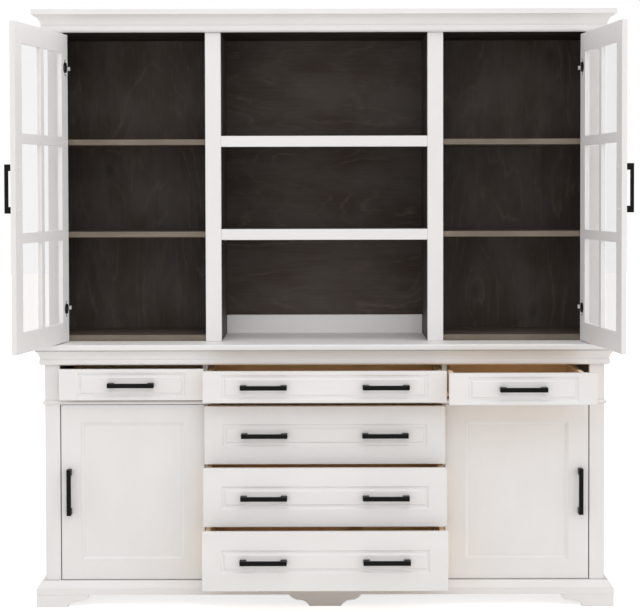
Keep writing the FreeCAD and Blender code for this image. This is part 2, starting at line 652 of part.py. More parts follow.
def build_base_door(word, sign):
    """A framed base door, hung at its inner edge and closed."""
    name = f"base_door_{word}"
    near, far = "reveal / 2", "(reveal / 2 + base_door_width)"
    low, high = FRONT_LOW, f"({FRONT_LOW} + {FRONT_ZONE})"

    def inside(inset):
        side, top = f"(door_frame_width + {inset})", f"(door_top_rail + {inset})"
        across = sorted([f"{sign} * ({near} + {side})", f"{sign} * ({far} - {side})"], key=amount_of)
        return rectangle(*across, f"{low} + {side}", f"{high} - {top}")

    across = sorted([f"{sign} * ({near})", f"{sign} * {far}"], key=amount_of)
    window = inside("(door_ledge + door_bevel)")
    outlines = [rectangle(*across, low, high), window]
    slab = padded(f"{name}_slab", "XZ_Plane", outlines, "front_board", reverse=True)
    doc.recompute()
    quirk = slab.newObject("PartDesign::Pocket", f"{name}_quirk")
    quirk.Profile = sketch_on(slab, f"{name}_quirk_outline", "XZ_Plane", [inside("0")])
    bind(quirk, Length="door_quirk")
    doc.recompute()
    rebate_sketch = sketch_on(slab, f"{name}_rebate_outline", "XZ_Plane", [inside("0")])
    rebate_sketch.setExpression("AttachmentOffset.Base.z", linked("-front_board"))
    rebate = slab.newObject("PartDesign::Pocket", f"{name}_rebate")
    rebate.Profile = rebate_sketch
    rebate.Reversed = True
    bind(rebate, Length="front_board - door_lip")
    doc.recompute()
    bevel = slab.newObject("PartDesign::Pocket", f"{name}_bevel")
    bevel.Profile = sketch_on(slab, f"{name}_bevel_outline", "XZ_Plane", [inside("door_ledge")])
    bevel.Profile[0].setExpression("AttachmentOffset.Base.z", linked("-door_quirk"))
    bind(bevel, Length="door_bevel_depth", TaperAngle="-atan(door_bevel / door_bevel_depth)")
    panel_span = inside("0")
    panel = block(f"{name}_panel_board", [
        (panel_span[0][0], panel_span[1][0]), ("door_lip", "door_lip + door_panel_board"),
        (panel_span[0][1], panel_span[2][1])])
    bores, cups = cup_tools(name, sign, "front_board", low, FRONT_ZONE)
    pull = handle(f"{name}_handle", upright=True)
    pivot = f"{sign} * {PARTITION_PLACE}"
    seated = {
        "frame": cut(f"{name}_frame", slab, bores),
        "panel": group(f"{name}_panel", [panel]),
        "hinges": cups,
    }
    for piece, thing in seated.items():
        place(thing, pivot, FRONT_FACE)
        keep(thing, f"{name}_{piece}")
    grip = f"{pivot} + {sign} * ({far} - base_handle_inset)"
    place(pull, grip, FRONT_FACE, f"{FRONT_LOW} + base_handle_level")
    keep(pull, f"{name}_handle")


def build_drawer(name, left, right, low, tall, groove_top, box_left, box_right, grips, pull):
    """A drawer drawn out by its pull: a milled front, a box of sides, back and bottom, and its handles."""
    high = f"({low} + {tall})"
    face = f"{FRONT_FACE} - {pull}"
    face_outline = rectangle(left, right, low, high)
    front = padded(f"{name}_front", "XZ_Plane", [face_outline], "front_board", reverse=True)
    doc.recompute()
    outer = rectangle(f"{left} + groove_side", f"{right} - groove_side",
                      f"{low} + {groove_top}", f"{high} - {groove_top}")
    inner = rectangle(f"{left} + groove_side + groove_width", f"{right} - groove_side - groove_width",
                      f"{low} + {groove_top} + groove_width", f"{high} - {groove_top} - groove_width")
    groove = front.newObject("PartDesign::Pocket", f"{name}_groove")
    groove.Profile = sketch_on(front, f"{name}_groove_outline", "XZ_Plane", [outer])
    bind(groove, Length="groove_depth", TaperAngle="-groove_slope")
    field = front.newObject("PartDesign::Pad", f"{name}_field")
    field.Profile = sketch_on(front, f"{name}_field_outline", "XZ_Plane", [inner])
    field.Reversed = True
    bind(field, Length="groove_depth", TaperAngle="groove_slope")
    place(front, y=face)
    keep(front, f"{name}_front")
    rear = f"{FRONT_REAR} - {pull}"
    foot, top = f"({low} + box_lift)", f"({high} - box_drop)"
    run = (rear, f"{rear} + {BOX_LENGTH}")
    between = (f"{box_left} + box_board", f"{box_right} - box_board")
    back = (f"{rear} + {BOX_LENGTH} - box_board", f"{rear} + {BOX_LENGTH}")
    floor = (f"{foot} + box_floor_lift", f"{foot} + box_floor_lift + box_floor")
    boards = [
        block(f"{name}_side_left", [(box_left, f"{box_left} + box_board"), run, (foot, top)]),
        block(f"{name}_side_right", [(f"{box_right} - box_board", box_right), run, (foot, top)]),
        block(f"{name}_rear", [between, back, (foot, top)]),
        block(f"{name}_bottom", [between, (rear, back[0]), floor]),
    ]
    keep(group(f"{name}_box", boards), f"{name}_box")
    pulls = []
    for i, grip in enumerate(grips):
        pulls.append(place(handle(f"{name}_grip_{i}", upright=False), grip, face, f"{low} + {tall} / 2"))
    keep(group(f"{name}_handles", pulls), f"{name}_handles")


def build_drawers():
    """The three top drawers, the three large drawers and the runners that carry them."""
    mid_half = f"({PARTITION_PLACE} - reveal / 2)"
    mid_box = f"({PARTITION_INNER} - slide_clear)"
    side_box = f"({PARTITION_OUTER} + slide_clear)"
    outer_box = f"({FRONT_OUTER} - box_outer_inset)"
    top_low = TOP_FRONT_LOW
    side_grip = f"(({FRONT_INNER} + {FRONT_OUTER}) / 2)"
    wide_grips = ("-drawer_handle_place", "drawer_handle_place")
    build_drawer("drawer_top_left", f"-{FRONT_OUTER}", f"-{FRONT_INNER}", top_low, "top_front_height",
                 "groove_top_small", f"-{outer_box}", f"-{side_box}", (f"-{side_grip}",), "pull_top_left")
    build_drawer("drawer_top_middle", f"-{mid_half}", mid_half, top_low, "top_front_height",
                 "groove_top_small", f"-{mid_box}", mid_box, wide_grips, "pull_top_middle")
    build_drawer("drawer_top_right", FRONT_INNER, FRONT_OUTER, top_low, "top_front_height",
                 "groove_top_small", side_box, outer_box, (side_grip,), "pull_top_right")
    runners = []

    def runner(name, wall, reach, level):
        low, high = f"{level} + box_lift - runner_clear - runner_height", f"{level} + box_lift - runner_clear"
        length = (PARTITION_FRONT, BACK_FACE)
        left = block(name, [(f"-({wall})", f"-({reach})"), length, (low, high)])
        runners.extend([left, mirrored(f"{name}_right", left)])

    runner("runner_top_outer", SIDE_INNER, f"{outer_box} - runner_overlap", top_low)
    runner("runner_top_side", f"{PARTITION_OUTER} + runner_overlap", PARTITION_OUTER, top_low)
    runner("runner_top_middle", PARTITION_INNER, f"{PARTITION_INNER} - runner_overlap", top_low)
    for number, word in enumerate(("lower", "middle", "upper")):
        low = f"({FRONT_LOW} + {number} * ({LARGE_FRONT} + reveal))"
        build_drawer(f"drawer_large_{word}", f"-{mid_half}", mid_half, low, LARGE_FRONT,
                     "groove_top_large", f"-{mid_box}", mid_box, wide_grips, f"pull_large_{word}")
        runner(f"runner_large_{word}", PARTITION_INNER, f"{PARTITION_INNER} - runner_overlap", low)
    keep(group("drawer_runners", runners), "drawer_runners")


def slices(name, boards, level):
    """Boards at one level, each given by its spans along X and Y and its height."""
    members = []
    for i, (across, along, tall) in enumerate(boards):
        upright = (f"{level} - {tall} / 2", f"{level} + {tall} / 2")
        members.append(block(f"{name}_{i}", [across, along, upright]))
    return members


def build_hinge_arms():
    """The cabinet halves of the concealed hinges, cranked in the hutch and straight in the base."""
    wall = f"-{SIDE_INNER}"
    face = f"{wall} + plate_board"
    hutch_boards = [
        ((wall, face), (FRAME_REAR, f"{FRAME_REAR} + plate_length"), "plate_height"),
        ((face, f"{face} + arm_crank"), (FRAME_REAR, f"{FRAME_REAR} + arm_width"), "arm_height"),
        ((f"-{STILE_INNER}", f"-{GLASS_PIVOT}"), ("hutch_setback", FRAME_REAR), "arm_height"),
    ]
    side = f"-{PARTITION_OUTER}"
    plane = f"{side} - plate_board"
    start = f"{FRONT_REAR} + flange_board + arm_clear"
    rear = f"{start} + arm_length"
    base_boards = [
        ((plane, side), (f"{rear} - plate_length", rear), "plate_height"),
        ((f"{plane} - arm_width", plane), (start, rear), "arm_height"),
    ]
    arms = []
    hutch_top = f"{GLASS_DOOR_LOW} + {GLASS_DOOR_HEIGHT}"
    base_top = f"{FRONT_LOW} + {FRONT_ZONE}"
    for word, hutch_level, base_level in (
        ("low", f"{GLASS_DOOR_LOW} + cup_end", f"{FRONT_LOW} + cup_end"),
        ("high", f"{hutch_top} - cup_end", f"{base_top} - cup_end"),
    ):
        knuckle = doc.addObject("Part::Cylinder", f"hinge_knuckle_{word}")
        bind(knuckle, Radius="knuckle_radius", Height="arm_height")
        place(knuckle, f"-{GLASS_PIVOT}", "hutch_setback", f"{hutch_level} - arm_height / 2")
        hutch = slices(f"hinge_board_hutch_{word}", hutch_boards, hutch_level)
        base = slices(f"hinge_board_base_{word}", base_boards, base_level)
        for name, members in (("hutch", [*hutch, knuckle]), ("base", base)):
            left = fuse(f"hinge_arm_{name}_{word}", members)
            arms += [left, mirrored(f"hinge_arm_{name}_{word}_right", left)]
    keep(group("hinge_arms", arms), "hinge_arms")


def write_parts():
    """Checks every object and writes each part to its own file."""
    doc.recompute()
    failed = [o.Name for o in doc.Objects if "Invalid" in o.State or "Error" in o.State]
    if failed:
        raise RuntimeError(f"failed to build: {failed}")
    for part in PARTS:
        if part.Shape.isNull() or not part.Shape.isValid() or not part.Shape.Solids:
            raise RuntimeError(f"no valid solid: {part.Label}")
    os.makedirs("parts", exist_ok=True)
    for part in PARTS:
        part.Shape.exportStep(f"parts/{part.Label}.step")
        print(part.Label, len(part.Shape.Solids), round(part.Shape.Volume / 1000, 1), "cm3")


build_base()
build_worktop()
build_plinth()
build_hutch()
build_glass_door("left", 1, "-open_left")
build_glass_door("right", -1, "open_right")
build_base_door("left", -1)
build_base_door("right", 1)
build_drawers()
build_hinge_arms()
write_parts()
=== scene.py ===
"""A dresser with a glazed hutch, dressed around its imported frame.

The frame gives every board, door and drawer at its real size. This script paints, stains and
lacquers them, softens their edges, adds hinge cups and screws, and sets the studio light and the
camera. Sizes are in metres.
"""

from __future__ import annotations

import json
import logging
import math
from dataclasses import dataclass
from enum import Enum

import bmesh
import bpy
from mathutils import Matrix, Vector


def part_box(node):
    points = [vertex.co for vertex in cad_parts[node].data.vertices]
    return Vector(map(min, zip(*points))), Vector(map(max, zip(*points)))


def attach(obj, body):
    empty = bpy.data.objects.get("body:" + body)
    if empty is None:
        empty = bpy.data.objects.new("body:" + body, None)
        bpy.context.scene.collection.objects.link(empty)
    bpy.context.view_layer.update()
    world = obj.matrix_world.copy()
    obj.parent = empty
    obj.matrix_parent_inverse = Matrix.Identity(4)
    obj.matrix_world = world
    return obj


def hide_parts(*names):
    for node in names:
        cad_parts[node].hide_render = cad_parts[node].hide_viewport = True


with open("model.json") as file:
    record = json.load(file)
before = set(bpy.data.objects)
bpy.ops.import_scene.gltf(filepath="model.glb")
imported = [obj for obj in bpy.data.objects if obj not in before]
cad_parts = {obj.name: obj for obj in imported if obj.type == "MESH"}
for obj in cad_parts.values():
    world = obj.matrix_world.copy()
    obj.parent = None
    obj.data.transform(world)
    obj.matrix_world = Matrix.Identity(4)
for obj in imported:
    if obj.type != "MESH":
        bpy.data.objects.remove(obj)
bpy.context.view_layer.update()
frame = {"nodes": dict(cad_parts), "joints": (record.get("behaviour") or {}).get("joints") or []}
LOG = logging.getLogger("dresser")

# Short names for types
Triple = tuple[float, float, float]
Range = tuple[float, float]
Socket = bpy.types.NodeSocket
Value = float | Socket

# Ranges that a number is moved from or onto
RISING: Range = (0.0, 1.0)
FALLING: Range = (1.0, 0.0)
NOISE_MIDDLE: Range = (0.3, 0.7)

WHITE = (1.0, 1.0, 1.0, 1.0)
FULL_TURN = 2.0 * math.pi
BACKWARDS = Vector((0.0, 1.0, 0.0))
SAME_POINT = 1e-6


class Axis(Enum):
    """A direction of the object's frame."""

    X = 0
    Y = 1
    Z = 2


class Effect(Enum):
    """The shader node groups that several finishes share, by name."""

    WOOD = "wood_figure"
    SKIN = "paint_skin"
    RUB = "edge_rub"
    CREVICE_SHADE = "crevice_shade"


class Mix(Enum):
    """What a Mix node mixes, and the numbers of its first, second and result sockets."""

    COLOUR = ("RGBA", 6, 7, 2)
    NUMBER = ("FLOAT", 2, 3, 0)


@dataclass(frozen=True)
class Noise:
    """A noise texture: how it is drawn out along each axis and how it breaks up."""

    stretch: Triple | None
    detail: float
    roughness: float
    scale: float = 1.0
    warp: float = 0.0


def rgba(colour: Triple) -> tuple[float, float, float, float]:
    """The colour with full opacity."""
    return (*colour, 1.0)


class Graph:
    """A node tree with short ways to add and join nodes."""

    def __init__(self, tree: bpy.types.NodeTree) -> None:
        """Keeps the tree that nodes are added to."""
        self.tree = tree

    def fill(self, sockets: bpy.types.NodeInputs, values: dict) -> None:
        """Sets or links the inputs of a node.

        Args:
            sockets: The node's inputs.
            values: A constant or an output socket for each input, by its name or number.
        """
        for key, value in values.items():
            if isinstance(value, Socket):
                self.tree.links.new(value, sockets[key])
            else:
                sockets[key].default_value = value

    def node(self, kind: str, inputs: dict | None = None, **settings: object) -> bpy.types.Node:
        """Adds a node.

        Args:
            kind: The node's type name.
            inputs: Values or output sockets for its inputs, by name or number.
            **settings: Values for its properties.

        Returns:
            The node.
        """
        made = self.tree.nodes.new(kind)
        for name, value in settings.items():
            setattr(made, name, value)
        self.fill(made.inputs, inputs or {})
        return made

    def group(self, effect: Effect, **inputs: Value) -> bpy.types.NodeOutputs:
        """Adds a shared effect and returns its outputs."""
        tree = bpy.data.node_groups[effect.value]
        return self.node("ShaderNodeGroup", inputs, node_tree=tree).outputs

    def math(self, operation: str, *values: Value) -> Socket:
        """Returns the output of a Math node on the values."""
        inputs = dict(enumerate(values))
        return self.node("ShaderNodeMath", inputs, operation=operation).outputs[0]

    def noise(self, vector: Socket, pattern: Noise, scale: Socket | None = None) -> Socket:
        """Adds a noise texture.

        Args:
            vector: The place on the surface.
            pattern: How the noise is drawn out and breaks up.
            scale: A scale that stands in for the pattern's own.

        Returns:
            The noise as a number.
        """
        if pattern.stretch is not None:
            factors = {0: vector, 1: pattern.stretch}
            vector = self.node("ShaderNodeVectorMath", factors, operation="MULTIPLY").outputs[0]
        inputs = {
            "Vector": vector,
            "Scale": pattern.scale if scale is None else scale,
            "Detail": pattern.detail,
            "Roughness": pattern.roughness,
            "Distortion": pattern.warp,
        }
        return self.node("ShaderNodeTexNoise", inputs).outputs[0]

    def spread(self, value: Socket, span: Range, onto: Range = RISING) -> Socket:
        """Returns the value moved from one range onto another and held there."""
        inputs = dict(enumerate((value, *span, *onto)))
        return self.node("ShaderNodeMapRange", inputs, clamp=True).outputs[0]

    def blend(self, factor: Socket, first: object, second: object, mix: Mix = Mix.COLOUR) -> Socket:
        """Adds a Mix node.

        Args:
            factor: The share of the second value.
            first: A colour, a number or a socket.
            second: A colour, a number or a socket.
            mix: What is mixed.

        Returns:
            The mixed colour or number.
        """
        kind, first_input, second_input, result = mix.value
        inputs = {0: factor, first_input: first, second_input: second}
        return self.node("ShaderNodeMix", inputs, data_type=kind).outputs[result]

    def tint(self, base: Socket, colour: Triple, mask: Socket, share: float = 1.0) -> Socket:
        """Returns the base colour with another mixed in where the mask lies, up to a share."""
        factor = mask if share == 1.0 else self.math("MULTIPLY", mask, share)
        return self.blend(factor, base, rgba(colour))

    def bump(self, height: Socket, strength: float, distance: float) -> Socket:
        """Returns the normal of a surface that has the height."""
        inputs = {"Strength": strength, "Distance": distance, "Height": height}
        return self.node("ShaderNodeBump", inputs).outputs[0]

    def along(self, grain: Axis) -> Socket:
        """Reads the object's coordinates.

        Args:
            grain: The axis that comes first.

        Returns:
            The coordinates with the grain's direction first.
        """
        place = self.node("ShaderNodeTexCoord").outputs["Object"]
        if grain is Axis.X:
            return place
        parts = self.node("ShaderNodeSeparateXYZ", {0: place}).outputs
        order = (1, 0, 2) if grain is Axis.Y else (2, 1, 0)
        inputs = {i: parts[part] for i, part in enumerate(order)}
        return self.node("ShaderNodeCombineXYZ", inputs).outputs[0]


class GroupMaker:
    """A shader node group in the making."""

    def __init__(self, effect: Effect, takes: dict[str, str], gives: tuple[str, ...]) -> None:
        """Starts the group.

        Args:
            effect: The effect that the group makes.
            takes: The kind of each input by its name.
            gives: The names of its number outputs.
        """
        tree = bpy.data.node_groups.new(effect.value, "ShaderNodeTree")
        for name, kind in takes.items():
            tree.interface.new_socket(name, in_out="INPUT", socket_type=f"NodeSocket{kind}")
        for name in gives:
            tree.interface.new_socket(name, in_out="OUTPUT", socket_type="NodeSocketFloat")
        self.graph = Graph(tree)
        self.given = self.graph.node("NodeGroupInput").outputs

    def close(self, **values: Socket) -> None:
        """Ends the group with a value for each output."""
        self.graph.node("NodeGroupOutput", values)


@dataclass(frozen=True)
class WoodFigure:
    """Sawn-board figure along X: rings that bend round knots, fine fibres and slow clouds."""

    slow: Noise = Noise((0.26, 1.0, 1.0), 2.0, 0.40, warp=0.25)
    wobble: Noise = Noise((9.0, 38.0, 38.0), 3.0, 0.55)
    breaks: Noise = Noise((7.0, 22.0, 22.0), 3.0, 0.6)
    fibre: Noise = Noise((7.0, 420.0, 420.0), 3.0, 0.6)
    cloud: Noise = Noise((5.0, 11.0, 11.0), 4.0, 0.58)
    wobble_share: float = 0.055
    bend_share: float = 0.10
    bend_reach: float = 0.34
    fade: float = 2.0
    half_ring: float = 0.5
    line_width: float = 0.22
    break_range: Range = (0.42, 0.68)
    knot_range: Range = (0.012, 0.060)
    knot_scale: float = 2.8
    knot_squeeze: float = 0.55

    def build(self) -> None:
        """Makes the group."""
        takes = {"Vector": "Vector", "Scale": "Float", "Rings": "Float"}
        maker = GroupMaker(Effect.WOOD, takes, ("Figure", "Fibre", "Cloud", "Knot"))
        graph, vector = maker.graph, maker.given["Vector"]
        near = self.knot_distance(graph, vector)
        slow = graph.noise(vector, self.slow, maker.given["Scale"])
        closeness = graph.spread(near, (0.0, self.bend_reach), FALLING)
        bend = graph.math("POWER", closeness, self.fade)
        field = graph.math("MULTIPLY_ADD", bend, self.bend_share, slow)
        wobble = graph.noise(vector, self.wobble)
        field = graph.math("MULTIPLY_ADD", wobble, self.wobble_share, field)
        counted = graph.math("MULTIPLY", field, maker.given["Rings"])
        rings = graph.math("PINGPONG", counted, self.half_ring)
        thin = graph.spread(rings, (0.0, self.line_width), FALLING)
        lines = graph.math("POWER", thin, self.fade)
        breaks = graph.spread(graph.noise(vector, self.breaks), self.break_range)
        maker.close(
            Figure=graph.math("MULTIPLY", lines, breaks),
            Fibre=graph.noise(vector, self.fibre),
            Cloud=graph.noise(vector, self.cloud),
            Knot=graph.spread(near, self.knot_range, FALLING),
        )

    def knot_distance(self, graph: Graph, vector: Socket) -> Socket:
        """Scatters knots over the boards.

        Args:
            graph: The group's graph.
            vector: The place on the board, with the grain's direction first.

        Returns:
            How far a point lies from the nearest knot, on the board's own face.
        """
        parts = graph.node("ShaderNodeSeparateXYZ", {0: vector}).outputs
        across = graph.math("ADD", parts["Y"], parts["Z"])
        along = graph.math("MULTIPLY", parts["X"], self.knot_squeeze)
        face = graph.node("ShaderNodeCombineXYZ", {"X": along, "Y": across}).outputs[0]
        spots = {"Vector": face, "Scale": self.knot_scale, "Randomness": 1.0}
        cells = graph.node("ShaderNodeTexVoronoi", spots, voronoi_dimensions="2D")
        return cells.outputs["Distance"]


@dataclass(frozen=True)
class PaintSkin:
    """A brushed or sprayed coat: faint streaks, a fine orange peel and a slow change of tone."""

    streaks: Noise = Noise((9.0, 260.0, 260.0), 3.0, 0.55)
    peel: Noise = Noise(None, 2.0, 0.5, scale=900.0)
    tone: Noise = Noise((2.2, 6.0, 6.0), 4.0, 0.6)

    def build(self) -> None:
        """Makes the group."""
        takes = {"Vector": "Vector", "Streaks": "Float"}
        maker = GroupMaker(Effect.SKIN, takes, ("Tone", "Height"))
        graph, vector = maker.graph, maker.given["Vector"]
        streaks = graph.noise(vector, self.streaks)
        peel = graph.noise(vector, self.peel)
        height = graph.blend(maker.given["Streaks"], peel, streaks, Mix.NUMBER)
        maker.close(Tone=graph.noise(vector, self.tone), Height=height)


@dataclass(frozen=True)
class EdgeRub:
    """Where hands rub an edge: the surface turns sharply, broken up by noise."""

    samples: int = 4
    turn_range: Range = (0.80, 0.99)
    patches: Noise = Noise(None, 4.0, 0.65, scale=38.0)
    patch_range: Range = (0.40, 0.68)

    def build(self) -> None:
        """Makes the group."""
        maker = GroupMaker(Effect.RUB, {"Vector": "Vector", "Reach": "Float"}, ("Mask",))
        graph = maker.graph
        reach = {"Radius": maker.given["Reach"]}
        turned = graph.node("ShaderNodeBevel", reach, samples=self.samples).outputs[0]
        straight = graph.node("ShaderNodeNewGeometry").outputs["True Normal"]
        normals = {0: turned, 1: straight}
        same = graph.node("ShaderNodeVectorMath", normals, operation="DOT_PRODUCT").outputs["Value"]
        edge = graph.spread(same, self.turn_range, FALLING)
        patches = graph.spread(graph.noise(maker.given["Vector"], self.patches), self.patch_range)
        maker.close(Mask=graph.math("MULTIPLY", edge, patches))


@dataclass(frozen=True)
class CreviceShade:
    """Painted shade and dust: a mask of grooves and inner corners narrower than the reach."""

    samples: int = 6
    open_range: Range = (0.35, 0.92)

    def build(self) -> None:
        """Makes the group."""
        maker = GroupMaker(Effect.CREVICE_SHADE, {"Reach": "Float"}, ("Mask",))
        reach = {"Distance": maker.given["Reach"]}
        occluded = maker.graph.node("ShaderNodeAmbientOcclusion", reach, samples=self.samples)
        maker.close(Mask=maker.graph.spread(occluded.outputs["AO"], self.open_range, FALLING))


@dataclass(frozen=True)
class Surface:
    """What a look gives at each point: colour, roughness and height sockets."""

    colour: Socket
    roughness: Socket
    height: Socket


@dataclass(frozen=True)
class PaintedWood:
    """Satin paint on wood, through which the grain still shows faintly."""

    grain: Axis = Axis.Z
    colour: Triple = (0.812, 0.800, 0.798)
    shade: Triple = (0.780, 0.767, 0.763)
    rubbed: Triple = (0.74, 0.715, 0.692)
    # Painted shade and dust: the darker colour mixed into grooves and inner corners
    dust_and_shade: Triple = (0.52, 0.475, 0.44)
    streaks: float = 0.72
    edge_reach: float = 0.0022
    groove_reach: float = 0.005
    tone_range: Range = (0.35, 0.68)
    pore_range: Range = (0.30, 0.46)
    pore_share: float = 0.35
    rub_share: float = 0.45
    dust_and_shade_share: float = 0.55
    roughness: Range = (0.40, 0.52)

    def surface(self, graph: Graph) -> Surface:
        """Adds the look's nodes.

        Args:
            graph: The graph of the material that has the look.

        Returns:
            The look's sockets.
        """
        vector = graph.along(self.grain)
        skin = graph.group(Effect.SKIN, Vector=vector, Streaks=self.streaks)
        rub = graph.group(Effect.RUB, Vector=vector, Reach=self.edge_reach)["Mask"]
        groove = graph.group(Effect.CREVICE_SHADE, Reach=self.groove_reach)["Mask"]
        tone = graph.spread(skin["Tone"], self.tone_range)
        pores = graph.spread(skin["Height"], self.pore_range, (self.pore_share, 0.0))
        painted = graph.blend(tone, rgba(self.colour), rgba(self.shade))
        pored = graph.tint(painted, self.shade, pores)
        worn = graph.tint(pored, self.rubbed, rub, self.rub_share)
        # Painted shade and dust: grooves and inner corners turn darker
        colour = graph.tint(worn, self.dust_and_shade, groove, self.dust_and_shade_share)
        roughness = graph.spread(skin["Tone"], NOISE_MIDDLE, self.roughness)
        return Surface(colour, roughness, skin["Height"])


@dataclass(frozen=True)
class FiguredWood:
    """Wood whose clouds, fibres, growth rings and knots show."""

    grain: Axis
    colour: Triple
    cloud: Triple
    line: Triple
    knot: Triple
    scale: float
    rings: float
    cloud_range: Range
    fibre_range: Range
    fibre_share: float
    figure_share: float
    knot_share: float
    roughness: Range
    fibres_first: bool

    def surface(self, graph: Graph) -> Surface:
        """Adds the look's nodes.

        Args:
            graph: The graph of the material that has the look.

        Returns:
            The look's sockets.
        """
        vector = graph.along(self.grain)
        wood = graph.group(Effect.WOOD, Vector=vector, Scale=self.scale, Rings=self.rings)
        clouds = graph.spread(wood["Cloud"], self.cloud_range)
        colour = graph.blend(clouds, rgba(self.colour), rgba(self.cloud))
        fibres = graph.spread(wood["Fibre"], self.fibre_range, (0.0, self.fibre_share))
        layers = [(fibres, 1.0), (wood["Figure"], self.figure_share)]
        for mask, share in layers if self.fibres_first else reversed(layers):
            colour = graph.tint(colour, self.line, mask, share)
        colour = graph.tint(colour, self.knot, wood["Knot"], self.knot_share)
        roughness = graph.spread(wood["Fibre"], NOISE_MIDDLE, self.roughness)
        return Surface(colour, roughness, wood["Fibre"])


@dataclass(frozen=True)
class StainedWood(FiguredWood):
    """Dark stain on veneer, with paler contour lines of the growth rings."""

    grain: Axis = Axis.Z
    colour: Triple = (0.075, 0.061, 0.052)
    cloud: Triple = (0.046, 0.0305, 0.0235)
    line: Triple = (0.155, 0.122, 0.099)
    knot: Triple = (0.016, 0.012, 0.010)
    scale: float = 2.6
    rings: float = 24.0
    cloud_range: Range = (0.36, 0.66)
    fibre_range: Range = (0.42, 0.75)
    fibre_share: float = 0.22
    figure_share: float = 0.48
    knot_share: float = 0.45
    roughness: Range = (0.46, 0.62)
    fibres_first: bool = True


@dataclass(frozen=True)
class ClearSoftwood(FiguredWood):
    """Pale softwood under a clear lacquer, with darker late-wood bands."""

    grain: Axis = Axis.X
    colour: Triple = (0.97, 0.67, 0.37)
    cloud: Triple = (0.98, 0.77, 0.49)
    line: Triple = (0.88, 0.51, 0.23)
    knot: Triple = (0.34, 0.16, 0.06)
    scale: float = 3.4
    rings: float = 22.0
    cloud_range: Range = (0.34, 0.68)
    fibre_range: Range = (0.45, 0.8)
    fibre_share: float = 0.3
    figure_share: float = 0.7
    knot_share: float = 0.75
    roughness: Range = (0.36, 0.50)
    fibres_first: bool = False


Look = PaintedWood | FiguredWood


@dataclass(frozen=True)
class Divide:
    """Where a second look takes over: past a level along one axis, counted from a centre."""

    axis: Axis
    level: float
    beyond: bool = True
    centre: float = 0.0
    both_sides: bool = False

    def mask(self, graph: Graph) -> Socket:
        """Adds the nodes that tell the two looks apart.

        Args:
            graph: The material's graph.

        Returns:
            1 where the second look lies and 0 elsewhere.
        """
        parts = graph.node("ShaderNodeSeparateXYZ", {0: graph.along(Axis.X)}).outputs
        value = graph.math("SUBTRACT", parts[self.axis.value], self.centre)
        if self.both_sides:
            value = graph.math("ABSOLUTE", value)
        return graph.math("GREATER_THAN" if self.beyond else "LESS_THAN", value, self.level)

    def joined(self, graph: Graph, first: Surface, second: Surface) -> Surface:
        """Joins two looks at the divide.

        Args:
            graph: The material's graph.
            first: The look before the divide.
            second: The look past it.

        Returns:
            The sockets of both looks together.
        """
        mask = self.mask(graph)
        return Surface(
            graph.blend(mask, first.colour, second.colour),
            graph.blend(mask, first.roughness, second.roughness, Mix.NUMBER),
            graph.blend(mask, first.height, second.height, Mix.NUMBER),
        )


class Finish:
    """A finish that is made as a material on first use."""

    name: str

    def material(self) -> bpy.types.Material:
        """Makes the finish's material where it isn't there yet.

        Returns:
            The material.
        """
        if self.name in bpy.data.materials:
            return bpy.data.materials[self.name]
        made = bpy.data.materials.new(self.name)
        made.use_nodes = True
        graph = Graph(made.node_tree)
        graph.fill(made.node_tree.nodes["Principled BSDF"].inputs, self.values(graph))
        return made

    def values(self, graph: Graph) -> dict:
        """Adds the finish's nodes to its new material.

        Args:
            graph: The material's graph.

        Returns:
            A constant or a socket for each input of the shader that the finish sets.
        """
        raise NotImplementedError


@dataclass(frozen=True)
class WoodFinish(Finish):
    """A wooden surface of one look, or of two looks on either side of a divide."""

    name: str
    look: Look
    second: Look | None = None
    divide: Divide | None = None
    bump: float = 0.22
    relief: float = 0.0004
    gloss: float = 0.5

    def values(self, graph: Graph) -> dict:
        """Adds the looks' nodes to the material.

        Args:
            graph: The material's graph.

        Returns:
            The shader's values.
        """
        surface = self.look.surface(graph)
        if self.second is not None and self.divide is not None:
            surface = self.divide.joined(graph, surface, self.second.surface(graph))
        return {
            "Base Color": surface.colour,
            "Roughness": surface.roughness,
            "Normal": graph.bump(surface.height, self.bump, self.relief),
            "Specular IOR Level": self.gloss,
        }


@dataclass(frozen=True)
class MetalFinish(Finish):
    """A coated or plated metal."""

    name: str
    colour: Triple
    shade: Triple
    metallic: float
    roughness: Range
    grain: Axis = Axis.X
    streaks: float = 0.0
    bump: float = 0.12
    relief: float = 0.0002
    gloss: float = 0.5

    def values(self, graph: Graph) -> dict:
        """Adds the coat's nodes to the material.

        Args:
            graph: The material's graph.

        Returns:
            The shader's values.
        """
        skin = graph.group(Effect.SKIN, Vector=graph.along(self.grain), Streaks=self.streaks)
        tone = graph.spread(skin["Tone"], NOISE_MIDDLE)
        return {
            "Base Color": graph.blend(tone, rgba(self.colour), rgba(self.shade)),
            "Roughness": graph.spread(skin["Height"], NOISE_MIDDLE, self.roughness),
            "Normal": graph.bump(skin["Height"], self.bump, self.relief),
            "Metallic": self.metallic,
            "Specular IOR Level": self.gloss,
        }


@dataclass(frozen=True)
class GlassFinish(Finish):
    """Clear window glass with a trace of dust."""

    name: str = "clear_glass"
    colour: Triple = (1.0, 1.0, 1.0)
    refraction: float = 1.14
    dust: Noise = Noise(None, 5.0, 0.65, scale=6.0)
    dust_range: Range = (0.35, 0.75)
    haze: float = 0.03

    def values(self, graph: Graph) -> dict:
        """Adds the dust's nodes to the material.

        Args:
            graph: The material's graph.

        Returns:
            The shader's values.
        """
        dust = graph.noise(graph.along(Axis.X), self.dust)
        return {
            "Base Color": rgba(self.colour),
            "Transmission Weight": 1.0,
            "IOR": self.refraction,
            "Roughness": graph.spread(dust, self.dust_range, (0.0, self.haze)),
        }


